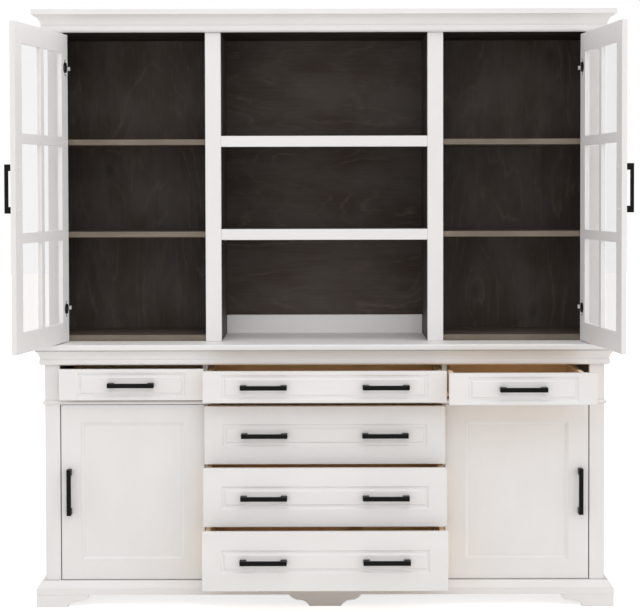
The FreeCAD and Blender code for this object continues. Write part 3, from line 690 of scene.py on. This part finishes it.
def background_rays(graph: Graph) -> Socket:
    """Tells the rays that show the background: straight, mirrored or through glass.

    Args:
        graph: The graph that is to know.

    Returns:
        1 for such rays and 0 for those that only carry light.
    """
    path = graph.node("ShaderNodeLightPath").outputs
    clear = graph.math("MAXIMUM", path["Is Glossy Ray"], path["Is Transmission Ray"])
    return graph.math("MAXIMUM", path["Is Camera Ray"], clear)


@dataclass(frozen=True)
class FloorFinish(Finish):
    """A pale floor that shows white and keeps the object's shadow."""

    name: str = "pale_floor"
    colour: Triple = (0.88, 0.85, 0.825)
    pale: Triple = (0.91, 0.88, 0.855)
    tone: Noise = Noise(None, 3.0, 0.5, scale=0.6)
    roughness: float = 0.8
    glow: float = 0.72
    glow_behind: float = 0.25

    def values(self, graph: Graph) -> dict:
        """Adds the floor's nodes to the material.

        Args:
            graph: The material's graph.

        Returns:
            The shader's values.
        """
        tone = graph.noise(graph.along(Axis.X), self.tone)
        camera_ray = graph.node("ShaderNodeLightPath").outputs["Is Camera Ray"]
        behind = graph.math("MULTIPLY", background_rays(graph), self.glow_behind)
        return {
            "Base Color": graph.blend(tone, rgba(self.colour), rgba(self.pale)),
            "Roughness": self.roughness,
            "Emission Color": WHITE,
            "Emission Strength": graph.blend(camera_ray, behind, self.glow, Mix.NUMBER),
        }


# White paint
PAINT_ACROSS = WoodFinish("white_paint_across", PaintedWood(Axis.X))
PAINT_UPRIGHT = WoodFinish("white_paint_upright", PaintedWood(Axis.Z))
# Paler paint that stands in for light: painted light on the worktop's top face and the back rail
PAINT_WITH_PAINTED_LIGHT = PaintedWood(Axis.X, (0.945, 0.928, 0.920), (0.920, 0.902, 0.893))

# Stained and bare wood
# Stain darkened under the hutch's top: painted shade on the ceiling of each bay
CEILING_STAIN_WITH_PAINTED_SHADE = StainedWood(
    Axis.X, (0.030, 0.023, 0.019), (0.019, 0.0125, 0.0095), (0.060, 0.047, 0.038)
)
# Stain paled on the shelves: painted light on them
SHELF_STAIN_WITH_PAINTED_LIGHT = StainedWood(
    Axis.X, (0.112, 0.093, 0.081), (0.070, 0.050, 0.040), (0.190, 0.153, 0.126)
)
# Paler still at the shelves' front edges: painted light where they face the light
SHELF_EDGE = StainedWood(
    Axis.X, (0.200, 0.165, 0.128), (0.148, 0.119, 0.091), (0.30, 0.245, 0.19),
    (0.10, 0.075, 0.055), 3.0, 10.0,
)
DRAWER_SIDE = ClearSoftwood(Axis.Y, (0.90, 0.69, 0.46), (0.94, 0.77, 0.56), (0.78, 0.53, 0.30))
BARE_BOARD = ClearSoftwood(
    Axis.X, (0.56, 0.44, 0.29), (0.64, 0.53, 0.37), (0.47, 0.345, 0.20),
    (0.33, 0.21, 0.11), 1.8, 11.0,
)

# Metal and glass
BLACK = MetalFinish(
    "black_powder_coat", (0.003, 0.003, 0.003), (0.006, 0.006, 0.006), 0.0, (0.34, 0.50), gloss=0.10
)
ARM_PLATE = MetalFinish(
    "bright_plate", (0.90, 0.89, 0.88), (0.80, 0.79, 0.78), 0.30, (0.22, 0.36), Axis.Z, 0.6
)
DARK_NICKEL = MetalFinish(
    "dark_nickel", (0.13, 0.125, 0.12), (0.08, 0.078, 0.075), 1.0, (0.24, 0.40), Axis.Z, 0.6
)
ZINC = MetalFinish("zinc_plate", (0.30, 0.295, 0.28), (0.20, 0.195, 0.185), 1.0, (0.28, 0.46))
GLASS = GlassFinish()


@dataclass(frozen=True)
class SoftEdges:
    """Rounding that takes the width from each face beside a sharp edge, in a few strips."""

    width: float
    strips: int = 2
    merge: float = 0.00002
    flat_angle: float = 0.2
    sharp_angle: float = 38.0

    def apply(self, piece: bpy.types.Object) -> None:
        """Rounds the sharp edges of a piece.

        Args:
            piece: The object, whose own mesh stays as it is.
        """
        weld = piece.modifiers.new("weld", "WELD")
        weld.merge_threshold = self.merge
        whole = piece.modifiers.new("whole_faces", "DECIMATE")
        whole.decimate_type = "DISSOLVE"
        whole.angle_limit = math.radians(self.flat_angle)
        bevel = piece.modifiers.new("soft_edges", "BEVEL")
        bevel.width = self.width
        bevel.segments = self.strips
        bevel.limit_method = "ANGLE"
        bevel.angle_limit = math.radians(self.sharp_angle)
        bevel.use_clamp_overlap = True
        bevel.face_strength_mode = "FSTR_ALL"
        even = piece.modifiers.new("even_shading", "WEIGHTED_NORMAL")
        even.mode = "FACE_AREA_WITH_ANGLE"
        even.keep_sharp = True
        even.use_face_influence = True


# How far edges are rounded
BOARD_EDGES = SoftEdges(0.0015)
SHELF_EDGES = SoftEdges(0.003, 3)
FINE_EDGES = SoftEdges(0.001)
HANDLE_EDGES = SoftEdges(0.0006)


def dress(node: str, finish: Finish, edges: SoftEdges | None = None) -> None:
    """Gives a frame node its finish.

    Args:
        node: The node's name.
        finish: The finish of all its faces.
        edges: How its edges are rounded, or None where they stay sharp.
    """
    piece = frame["nodes"][node]
    piece.data.materials.clear()
    piece.data.materials.append(finish.material())
    if edges is not None:
        edges.apply(piece)
    LOG.info("dressed %s with %s", node, finish.name)


def new_piece(name: str, mesh: bpy.types.Mesh) -> bpy.types.Object:
    """Adds an object to the scene, at the origin.

    Args:
        name: The object's name.
        mesh: Its mesh.

    Returns:
        The object.
    """
    piece = bpy.data.objects.new(name, mesh)
    bpy.context.scene.collection.objects.link(piece)
    return piece


def joined(
    name: str, meshes: list[bpy.types.Mesh], move: Matrix | None = None
) -> bpy.types.Object:
    """Joins meshes of one material into one piece.

    Args:
        name: The piece's name.
        meshes: The meshes, the first of which has the piece's material.
        move: A movement of the whole piece, worked into its mesh.

    Returns:
        The piece.
    """
    work = bmesh.new()
    for mesh in meshes:
        work.from_mesh(mesh)
    if move is not None:
        bmesh.ops.transform(work, matrix=move, verts=work.verts)
    result = bpy.data.meshes.new(name)
    work.to_mesh(result)
    work.free()
    result.materials.append(meshes[0].materials[0])
    LOG.info("added %s", name)
    return new_piece(name, result)


def fasten(piece: bpy.types.Object, body: str) -> None:
    """Lets a metal piece ride on a body of the frame."""
    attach(piece, body)


@dataclass(frozen=True)
class Screw:
    """The size of a screw head."""

    radius: float
    height: float


HANDLE_SCREW = Screw(0.0042, 0.0022)
WING_SCREW = Screw(0.00357, 0.00154)
BACK_SCREW = Screw(0.0036, 0.0012)


class ScrewRow:
    """Screw heads on points, made by one Geometry Nodes tree."""

    TREE = "screw_heads"
    PATTERN = "screw_head_pattern"
    SIDES = 12
    SEED = 7
    DOME = ((1.0, 0.0), (1.0, 0.30), (0.86, 0.74), (0.60, 1.0))
    RECESS = (0.96, 0.35)
    ARM_REACH = 0.50
    ARM_HALF = 0.13
    POINTS_PER_ARM = 3

    def __init__(self) -> None:
        """Makes the head that is repeated and the tree that repeats it."""
        self.head = new_piece(self.PATTERN, self.head_mesh())
        self.sockets: dict[str, str] = {}
        self.tree = self.build_tree()

    def head_mesh(self) -> bpy.types.Mesh:
        """Makes a domed head of radius and height 1 on the XY plane, with a cross recess.

        Returns:
            The head's mesh.
        """
        work = bmesh.new()
        steps = range(self.SIDES)
        rings = [[work.verts.new(self.on_circle(*ring, i)) for i in steps] for ring in self.DOME]
        rings += [[work.verts.new(self.on_cross(level, i)) for i in steps] for level in self.RECESS]
        for lower, upper in zip(rings, rings[1:]):
            for i in steps:
                after = (i + 1) % self.SIDES
                work.faces.new((lower[i], lower[after], upper[after], upper[i]))
        work.faces.new(rings[-1])
        work.faces.new(list(reversed(rings[0])))
        mesh = bpy.data.meshes.new(self.PATTERN)
        work.to_mesh(mesh)
        work.free()
        return mesh

    def on_circle(self, radius: float, level: float, step: int) -> Triple:
        """Returns a point of a ring of the head."""
        angle = FULL_TURN * (step + 0.5) / self.SIDES
        return radius * math.cos(angle), radius * math.sin(angle), level

    def on_cross(self, level: float, step: int) -> Triple:
        """Finds a point of the cross recess.

        Args:
            level: The height of the point.
            step: The number of the point round the cross.

        Returns:
            The point.
        """
        far, near = self.ARM_REACH, self.ARM_HALF
        arm, part = divmod(step, self.POINTS_PER_ARM)
        x, y = ((far, near), (near, near), (near, far))[part]
        turn = FULL_TURN / 4.0 * arm
        cos, sin = math.cos(turn), math.sin(turn)
        return x * cos - y * sin, x * sin + y * cos, level

    def build_tree(self) -> bpy.types.NodeTree:
        """Builds the tree that puts a head on each point, turned to an axis and spun by a seed.

        Returns:
            The tree.
        """
        tree = bpy.data.node_groups.new(self.TREE, "GeometryNodeTree")
        tree.interface.new_socket("Points", in_out="INPUT", socket_type="NodeSocketGeometry")
        kinds = {
            "Head": "Object",
            "Radius": "Float",
            "Height": "Float",
            "Axis": "Vector",
            "Seed": "Int",
            "Metal": "Material",
        }
        for name, kind in kinds.items():
            kind = f"NodeSocket{kind}"
            socket = tree.interface.new_socket(name, in_out="INPUT", socket_type=kind)
            self.sockets[name] = socket.identifier
        tree.interface.new_socket("Screws", in_out="OUTPUT", socket_type="NodeSocketGeometry")
        graph = Graph(tree)
        given = graph.node("NodeGroupInput").outputs
        points = graph.node("GeometryNodeMeshToPoints", {"Mesh": given["Points"]}).outputs[0]
        head = graph.node("GeometryNodeObjectInfo", {"Object": given["Head"]}).outputs["Geometry"]
        inputs = {"Vector": given["Axis"]}
        upright = graph.node("FunctionNodeAlignRotationToVector", inputs, axis="Z").outputs[0]
        inputs = {2: 0.0, 3: FULL_TURN, "Seed": given["Seed"]}
        angle = graph.node("FunctionNodeRandomValue", inputs, data_type="FLOAT").outputs[1]
        inputs = {"Axis": (0.0, 0.0, 1.0), "Angle": angle}
        spin = graph.node("FunctionNodeAxisAngleToRotation", inputs).outputs[0]
        inputs = {"Rotation": upright, "Rotate By": spin}
        turned = graph.node("FunctionNodeRotateRotation", inputs, rotation_space="LOCAL").outputs[0]
        inputs = {"X": given["Radius"], "Y": given["Radius"], "Z": given["Height"]}
        size = graph.node("ShaderNodeCombineXYZ", inputs).outputs[0]
        inputs = {"Points": points, "Instance": head, "Rotation": turned, "Scale": size}
        heads = graph.node("GeometryNodeInstanceOnPoints", inputs).outputs[0]
        solid = graph.node("GeometryNodeRealizeInstances", {0: heads}).outputs[0]
        inputs = {"Geometry": solid, "Material": given["Metal"]}
        metal = graph.node("GeometryNodeSetMaterial", inputs).outputs[0]
        graph.node("NodeGroupOutput", {0: metal})
        return tree

    def mesh(self, spots: list[Vector], screw: Screw) -> bpy.types.Mesh:
        """Puts screws on points, with their heads to the back.

        Args:
            spots: The middle of each head's underside.
            screw: The size of the heads.

        Returns:
            The heads as one plain mesh.
        """
        points = bpy.data.meshes.new("screw_points")
        points.from_pydata(spots, [], [])
        carrier = new_piece("screw_points", points)
        modifier = carrier.modifiers.new("screws", "NODES")
        modifier.node_group = self.tree
        values = {
            "Head": self.head,
            "Radius": screw.radius,
            "Height": screw.height,
            "Axis": BACKWARDS,
            "Seed": self.SEED,
            "Metal": ZINC.material(),
        }
        for name, value in values.items():
            modifier[self.sockets[name]] = value
        bpy.context.view_layer.update()
        seen = carrier.evaluated_get(bpy.context.evaluated_depsgraph_get())
        mesh = bpy.data.meshes.new_from_object(seen)
        bpy.data.objects.remove(carrier)
        return mesh

    def close(self) -> None:
        """Removes the head pattern once every row is made."""
        bpy.data.objects.remove(self.head)


def joint_of(body: str) -> dict:
    """The joint that carries a body."""
    return next(joint for joint in frame["joints"] if joint["child"] == body)


@dataclass
class HingeCups:
    """Concealed hinge cups let into the inner face of a door, drawn with the door closed."""

    body: str
    inset: float = 0.024
    end: float = 0.108
    radius: float = 0.0174
    dish: float = 0.0150
    depth: float = 0.0095
    rim: float = 0.0012
    lip: float = 0.0012
    bead: float = 0.0008
    bead_drop: float = 0.001
    wall_slope: float = 0.0012
    corner_height: float = 0.003
    corner_width: float = 0.004
    floor: float = 0.001
    sides: int = 32
    wing_reach: float = 0.026
    wing_width: float = 0.0125
    wing_start: float = 0.9
    wing_height: float = 0.9
    wing_taper: float = 0.96
    wing_steps: int = 8

    @property
    def hutch(self) -> bool:
        """Whether the door is one of the hutch's."""
        return self.body.startswith("hutch")

    def swing(self) -> Matrix:
        """Works out how the door stands open.

        Returns:
            The movement from the closed door to the door at rest.
        """
        joint = joint_of(self.body)
        pivot = Matrix.Translation(joint["pos_m"])
        angle = -math.radians(joint["range_deg"][1]) if self.hutch else 0.0
        return pivot @ Matrix.Rotation(angle, 4, Vector(joint["axis"])) @ pivot.inverted()

    def middles(self, thickness: float, low: float, high: float) -> list[Vector]:
        """Finds where the cups sit.

        Args:
            thickness: The thickness of the door.
            low: The level of its lower edge.
            high: The level of its upper edge.

        Returns:
            The middle of each cup on the closed door's inner face.
        """
        pivot = Vector(joint_of(self.body)["pos_m"])
        outward = math.copysign(1.0, pivot.x)
        x = pivot.x + (-outward if self.hutch else outward) * self.inset
        return [Vector((x, pivot.y + thickness, z)) for z in (low + self.end, high - self.end)]

    def wing_middle(self) -> tuple[float, float]:
        """The height of a wing's face and how far its screw stands from the cup's middle."""
        return self.rim * self.wing_height, self.wing_reach - self.wing_width / 2.0

    def profile(self) -> list[Range]:
        """Draws half of a cup from its outer foot over the rim to the middle of its floor.

        Returns:
            The radius and the height of each point.
        """
        return [
            (self.radius, -self.depth),
            (self.radius, 0.0),
            (self.radius + self.lip, self.rim * 0.5),
            (self.radius, self.rim),
            (self.dish, self.rim),
            (self.dish - self.bead, self.rim - self.bead_drop),
            (self.dish - self.wall_slope, -self.depth + self.corner_height),
            (self.dish - self.corner_width, -self.depth + self.floor),
            (0.0, -self.depth + self.floor),
        ]

    def mesh(self, middle: Vector) -> bpy.types.Mesh:
        """Makes one cup with its rim and two screw wings.

        Args:
            middle: The middle of the cup on the door's inner face.

        Returns:
            The cup's mesh.
        """
        work = bmesh.new()
        points = [work.verts.new((radius, y, 0.0)) for radius, y in self.profile()]
        edges = [work.edges.new(pair) for pair in zip(points, points[1:])]
        bmesh.ops.spin(
            work, geom=points + edges, axis=BACKWARDS, cent=(0.0, 0.0, 0.0), angle=FULL_TURN,
            steps=self.sides,
        )
        bmesh.ops.remove_doubles(work, verts=work.verts, dist=SAME_POINT)
        bmesh.ops.recalc_face_normals(work, faces=work.faces)
        for sign in (1.0, -1.0):
            self.add_wing(work, sign)
        bmesh.ops.translate(work, vec=middle, verts=work.verts)
        mesh = bpy.data.meshes.new("hinge_cup")
        work.to_mesh(mesh)
        work.free()
        mesh.materials.append(DARK_NICKEL.material())
        return mesh

    def add_wing(self, work: bmesh.types.BMesh, sign: float) -> None:
        """Adds a tab with a round end to a cup.

        Args:
            work: The cup's mesh.
            sign: 1 for a tab above the cup and -1 for one below.
        """
        half = self.wing_width / 2.0
        start = self.dish * self.wing_start
        face, end = self.wing_middle()
        outline = [(-half, start), (half, start)]
        for step in range(self.wing_steps + 1):
            angle = math.pi * step / self.wing_steps
            outline.append((half * math.cos(angle), end + half * math.sin(angle)))
        floor = [work.verts.new((x, 0.0, sign * z)) for x, z in outline]
        roof = [work.verts.new((x * self.wing_taper, face, sign * z)) for x, z in outline]
        faces = [work.faces.new(floor), work.faces.new(roof)]
        for i in range(len(outline)):
            after = (i + 1) % len(outline)
            faces.append(work.faces.new((floor[i], floor[after], roof[after], roof[i])))
        bmesh.ops.recalc_face_normals(work, faces=faces)


@dataclass
class Door:
    """A door with hinge cups at its hung edge and one handle at its free edge."""

    body: str
    paint: WoodFinish = PAINT_UPRIGHT
    soft: float = 0.0018
    hole_pitch: float = 0.128
    handle_inset: float = 0.029
    handle_level: float = 1.350

    def dress(self) -> None:
        """Finishes the door's own boards and handle."""
        dress(f"{self.body}_frame", self.paint, SoftEdges(self.soft))
        dress(f"{self.body}_handle", BLACK, HANDLE_EDGES)

    def build(self, screws: ScrewRow) -> None:
        """Adds hinge cups and screws to the door's inner face.

        Args:
            screws: The maker of screw heads.
        """
        cups = HingeCups(self.body)
        low, high, thickness, handle = self.closed_sizes(cups)
        middles = cups.middles(thickness, low, high)
        swing = cups.swing()
        metal = joined(f"{self.body}_cups", [cups.mesh(middle) for middle in middles], swing)
        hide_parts(f"{self.body}_hinges")
        fasten(metal, self.body)
        signs = (1.0, -1.0)
        face, reach = cups.wing_middle()
        wings = [middle + Vector((0.0, face, s * reach)) for middle in middles for s in signs]
        levels = [self.handle_level + s * self.hole_pitch / 2.0 for s in signs]
        holes = [Vector((handle, middles[0].y, level)) for level in levels]
        heads = [screws.mesh(wings, WING_SCREW), screws.mesh(holes, HANDLE_SCREW)]
        fasten(joined(f"{self.body}_screws", heads, swing), self.body)

    def closed_sizes(self, cups: HingeCups) -> tuple[float, float, float, float]:
        """Measures the door as if it were closed.

        Args:
            cups: The door's hinge cups, which know how it swings.

        Returns:
            Its low and high level, its thickness and where its handle stands along X.
        """
        node = frame["nodes"][f"{self.body}_frame"]
        back = cups.swing().inverted()
        corners = [back @ vertex.co for vertex in node.data.vertices]
        levels = [corner.z for corner in corners]
        depths = [corner.y for corner in corners]
        pivot = joint_of(self.body)["pos_m"][0]
        far = max((corner.x for corner in corners), key=lambda x: abs(x - pivot))
        handle = far - math.copysign(self.handle_inset, far - pivot)
        return min(levels), max(levels), max(depths) - min(depths), handle


@dataclass
class GlazedDoor(Door):
    """A hutch door with six panes."""

    def dress(self) -> None:
        """Finishes the door and its panes, which let light through."""
        super().dress()
        dress(f"{self.body}_glass", GLASS)
        panes = frame["nodes"][f"{self.body}_glass"]
        panes.visible_shadow = False
        panes.visible_diffuse = False


@dataclass
class PanelDoor(Door):
    """A base door with one flat panel in a bevelled frame."""

    soft: float = 0.0003
    handle_inset: float = 0.027
    handle_level: float = 0.370

    def dress(self) -> None:
        """Finishes the door and its panel."""
        super().dress()
        dress(f"{self.body}_panel", self.paint)


@dataclass
class Drawer:
    """A drawer: a milled front, a softwood box and one or two handles."""

    body: str
    board: float = 0.014
    hole_pitch: float = 0.128
    two_handles_from: float = 0.6
    handle_place: float = 0.194
    soft_front: float = 0.0016
    soft_box: float = 0.0012
    gloss: float = 0.25

    def dress(self) -> None:
        """Finishes the front, the handles and the box, whose sides have their own grain."""
        dress(f"{self.body}_front", PAINT_ACROSS, SoftEdges(self.soft_front))
        dress(f"{self.body}_handles", BLACK, HANDLE_EDGES)
        low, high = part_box(f"{self.body}_box")
        centre = (low.x + high.x) / 2.0
        level = (high.x - low.x) / 2.0 - self.board
        sides = Divide(Axis.X, level, centre=centre, both_sides=True)
        name = f"clear_softwood_{self.body}"
        pine = WoodFinish(name, ClearSoftwood(Axis.X), DRAWER_SIDE, sides, gloss=self.gloss)
        dress(f"{self.body}_box", pine, SoftEdges(self.soft_box))

    def build(self, screws: ScrewRow) -> None:
        """Adds the handle screws behind the front.

        Args:
            screws: The maker of screw heads.
        """
        low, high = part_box(f"{self.body}_front")
        middle = (low + high) / 2.0
        grips = [middle.x]
        if high.x - low.x > self.two_handles_from:
            grips = [middle.x - self.handle_place, middle.x + self.handle_place]
        half = self.hole_pitch / 2.0
        holes = [Vector((x + s * half, high.y, middle.z)) for x in grips for s in (-1.0, 1.0)]
        fasten(joined(f"{self.body}_screws", [screws.mesh(holes, HANDLE_SCREW)]), self.body)


@dataclass
class BaseCabinet:
    """The base: carcass, worktop, mouldings, plinth and feet."""

    top_skin: float = 0.0008
    back_skin: float = 0.0005

    def dress(self) -> None:
        """Finishes the fixed boards of the base."""
        for node in ("base_sides", "base_posts", "base_partitions"):
            dress(node, PAINT_UPRIGHT, BOARD_EDGES)
        for node in ("base_floor", "drawer_rail", "corner_feet", "middle_foot"):
            dress(node, PAINT_ACROSS, BOARD_EDGES)
        for node in ("bead_moulding", "worktop_moulding", "plinth", "plinth_moulding"):
            dress(node, PAINT_ACROSS)
        painted = PaintedWood(Axis.X)
        # The worktop's top face takes the paler paint: painted light
        top = Divide(Axis.Z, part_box("worktop")[1].z - self.top_skin)
        dress("worktop", WoodFinish("worktop_paint_with_painted_light", painted, PAINT_WITH_PAINTED_LIGHT, top), BOARD_EDGES)
        back = Divide(Axis.Y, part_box("base_back")[1].y - self.back_skin)
        dress("base_back", WoodFinish("base_back_board", painted, BARE_BOARD, back))
        dress("drawer_runners", WoodFinish("softwood_runner", ClearSoftwood(Axis.Y)), FINE_EDGES)


@dataclass
class Hutch:
    """The hutch: painted outside, stained inside."""

    skin: float = 0.0003
    back_skin: float = 0.0005
    edge_strip: float = 0.0025
    soft_arms: float = 0.0008
    side_gloss: float = 0.3
    shelf_gloss: float = 0.25
    inner_gloss: float = 0.2
    ceiling_gloss: float = 0.15

    def dress(self) -> None:
        """Finishes the fixed boards of the hutch."""
        dress("centre_rails", PAINT_ACROSS, BOARD_EDGES)
        # The back rail takes the paler paint all over: painted light
        dress("back_rail", WoodFinish("back_rail_paint_with_painted_light", PAINT_WITH_PAINTED_LIGHT), BOARD_EDGES)
        dress("cornice", PAINT_ACROSS)
        dress("hutch_face_frame", PAINT_UPRIGHT, BOARD_EDGES)
        dress("hinge_arms", ARM_PLATE, SoftEdges(self.soft_arms))
        self.dress_carcass()
        self.dress_backs()
        self.dress_shelves()

    def dress_carcass(self) -> None:
        """Paints the sides and the top outside, and stains them and the partitions inside."""
        stained = StainedWood(Axis.Z)
        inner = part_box("hutch_side_backs")[1].x + self.skin
        inside = Divide(Axis.X, inner, beyond=False, both_sides=True)
        painted = PaintedWood(Axis.Z)
        sides = WoodFinish("hutch_side", painted, stained, inside, gloss=self.side_gloss)
        dress("hutch_sides", sides, BOARD_EDGES)
        # The ceiling under the top takes the darker stain: painted shade
        below = Divide(Axis.Z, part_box("hutch_top")[0].z + self.skin, beyond=False)
        painted = PaintedWood(Axis.X)
        top = WoodFinish("hutch_top", painted, CEILING_STAIN_WITH_PAINTED_SHADE, below, gloss=self.ceiling_gloss)
        dress("hutch_top", top, BOARD_EDGES)
        partitions = WoodFinish("stained_upright", stained, gloss=self.inner_gloss)
        dress("hutch_partitions", partitions, BOARD_EDGES)

    def dress_backs(self) -> None:
        """Stains the back panels inside and leaves them bare behind."""
        behind = Divide(Axis.Y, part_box("hutch_centre_back")[1].y - self.back_skin)
        for node, name, grain in (
            ("hutch_side_backs", "stained_back_upright", Axis.Z),
            ("hutch_centre_back", "stained_back_across", Axis.X),
        ):
            stained = StainedWood(grain)
            dress(node, WoodFinish(name, stained, BARE_BOARD, behind, gloss=self.inner_gloss))

    def dress_shelves(self) -> None:
        """Stains the shelves with painted light: paler than the other stain, and paler still on the
        front edges of the side ones.
        """
        front = Divide(Axis.Y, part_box("hutch_shelves")[0].y + self.edge_strip, beyond=False)
        side = WoodFinish("stained_shelf", SHELF_STAIN_WITH_PAINTED_LIGHT, SHELF_EDGE, front, gloss=self.shelf_gloss)
        dress("hutch_shelves", side, SHELF_EDGES)
        centre = WoodFinish("stained_across", SHELF_STAIN_WITH_PAINTED_LIGHT, gloss=self.inner_gloss)
        dress("centre_shelves", centre, FINE_EDGES)


@dataclass
class BackScrews:
    """Rows of small screws that hold the back panels, seen from behind."""

    inset: float = 0.009
    pitch: float = 0.15
    partition: float = 0.018

    def steps(self, low: float, high: float) -> list[float]:
        """Spaces screws between two edges.

        Args:
            low: The place of the first edge.
            high: The place of the second edge.

        Returns:
            Places at about the pitch.
        """
        first, last = low + self.inset * 2.0, high - self.inset * 2.0
        count = max(2, round((last - first) / self.pitch) + 1)
        return [first + (last - first) * i / (count - 1) for i in range(count)]

    def round_panel(self, low: Vector, high: Vector) -> list[Vector]:
        """Spaces screws round the edge of a panel.

        Args:
            low: The panel's lowest corner.
            high: The panel's highest corner.

        Returns:
            Points on the panel's rear face.
        """
        spots = []
        for x in (low.x + self.inset, high.x - self.inset):
            spots += [Vector((x, high.y, z)) for z in self.steps(low.z, high.z)]
        for z in (low.z + self.inset, high.z - self.inset):
            spots += [Vector((x, high.y, z)) for x in self.steps(low.x, high.x)[1:-1]]
        return spots

    def build(self, screws: ScrewRow) -> None:
        """Adds the screws of every back panel as one piece.

        Args:
            screws: The maker of screw heads.
        """
        spots = self.round_panel(*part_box("base_back"))
        low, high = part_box("hutch_side_backs")
        centre_low, centre_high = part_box("hutch_centre_back")
        beside = centre_high.x + self.partition
        for left, right in (
            (low.x, -beside),
            (centre_low.x, centre_high.x),
            (beside, high.x),
        ):
            spots += self.round_panel(
                Vector((left, low.y, low.z)), Vector((right, high.y, high.z))
            )
        fasten(joined("back_screws", [screws.mesh(spots, BACK_SCREW)]), "cabinet")


@dataclass(frozen=True)
class Lamp:
    """A square soft lamp that points at a spot."""

    name: str
    place: Triple
    aim: Triple
    size: float
    power: float

    def build(self) -> None:
        """Adds the lamp to the scene."""
        light = bpy.data.lights.new(self.name, "AREA")
        light.size = self.size
        light.energy = self.power
        lamp = bpy.data.objects.new(self.name, light)
        lamp.location = self.place
        heading = Vector(self.aim) - Vector(self.place)
        lamp.rotation_euler = heading.to_track_quat("-Z", "Y").to_euler()
        bpy.context.scene.collection.objects.link(lamp)


# Soft lamps high in front, overhead and from the left
LAMPS = (
    Lamp("high", (0.1, -6.0, 5.2), (0.0, 0.0, 0.9), 3.4, 70.0),
    Lamp("over", (0.3, -2.2, 6.5), (0.0, -0.1, 0.8), 3.0, 36.0),
    Lamp("left", (-2.8, -4.6, 1.6), (-0.4, 0.0, 0.8), 3.0, 15.0),
)


@dataclass
class Studio:
    """The pale floor, the soft light and the camera at the photograph's place."""

    photo_width: float = 640.0
    photo_height: float = 615.0
    focal_pixels: float = 1582.5
    principal_x: float = 324.3
    principal_y: float = 229.8
    eye: Triple = (0.0, -5.1, 1.35)
    downward: float = 1.5
    tilt: float = 0.125
    sensor: float = 36.0
    ambient: float = 0.16
    sides: float = 1.08
    right_more: float = 0.38
    roof: float = 0.42
    floor_size: float = 40.0

    def build(self) -> None:
        """Builds the world, the floor, the lamps and the camera."""
        bpy.context.scene.view_settings.view_transform = "Standard"
        self.build_world()
        self.build_floor()
        for lamp in LAMPS:
            lamp.build()
        self.build_camera()

    def build_world(self) -> None:
        """Puts a white tent round the object, bright at its side walls and its roof."""
        world = bpy.data.worlds.new("studio")
        world.use_nodes = True
        bpy.context.scene.world = world
        graph = Graph(world.node_tree)
        heading = graph.node("ShaderNodeTexCoord").outputs["Generated"]
        parts = graph.node("ShaderNodeSeparateXYZ", {0: heading}).outputs
        sideways = graph.math("ABSOLUTE", parts["X"])
        walls = graph.math("MULTIPLY_ADD", sideways, self.sides, self.ambient)
        uneven = graph.math("MULTIPLY_ADD", parts["X"], self.right_more, walls)
        upwards = graph.math("MAXIMUM", parts["Z"], 0.0)
        light = graph.math("MULTIPLY_ADD", upwards, self.roof, uneven)
        strength = graph.blend(background_rays(graph), light, 1.0, Mix.NUMBER)
        background = world.node_tree.nodes["Background"].inputs
        graph.fill(background, {"Color": WHITE, "Strength": strength})

    def build_floor(self) -> None:
        """Lays a pale floor under the object."""
        mesh = bpy.data.meshes.new("floor")
        half = self.floor_size / 2.0
        corners = [(-half, -half, 0.0), (half, -half, 0.0), (half, half, 0.0), (-half, half, 0.0)]
        mesh.from_pydata(corners, [], [(0, 1, 2, 3)])
        mesh.materials.append(FloorFinish().material())
        new_piece("floor", mesh)

    def build_camera(self) -> None:
        """Sets a camera that looks slightly down, its lens shifted as the photograph needs."""
        camera = bpy.data.cameras.new("photo_camera")
        camera.sensor_width = self.sensor
        camera.lens = self.focal_pixels / self.photo_width * self.sensor
        camera.shift_x = (self.photo_width / 2.0 - self.principal_x) / self.photo_width
        camera.shift_y = (self.principal_y - self.photo_height / 2.0) / self.photo_width
        holder = bpy.data.objects.new("photo_camera", camera)
        holder.location = self.eye
        holder.rotation_euler = (math.radians(90.0 - self.downward), math.radians(self.tilt), 0.0)
        bpy.context.scene.collection.objects.link(holder)
        bpy.context.scene.camera = holder


def main() -> None:
    """Dresses the whole object and sets the studio."""
    logging.basicConfig(level=logging.INFO, format="%(name)s: %(message)s")
    for effect in (WoodFigure(), PaintSkin(), EdgeRub(), CreviceShade()):
        effect.build()
    screws = ScrewRow()
    BaseCabinet().dress()
    Hutch().dress()
    hands = ("left", "right")
    parts = [GlazedDoor(f"hutch_door_{hand}") for hand in hands]
    parts += [PanelDoor(f"base_door_{hand}") for hand in hands]
    parts += [Drawer(f"drawer_top_{place}") for place in ("left", "middle", "right")]
    parts += [Drawer(f"drawer_large_{place}") for place in ("upper", "middle", "lower")]
    for part in parts:
        part.dress()
        part.build(screws)
    BackScrews().build(screws)
    screws.close()
    Studio().build()


if __name__ == "__main__":
    main()
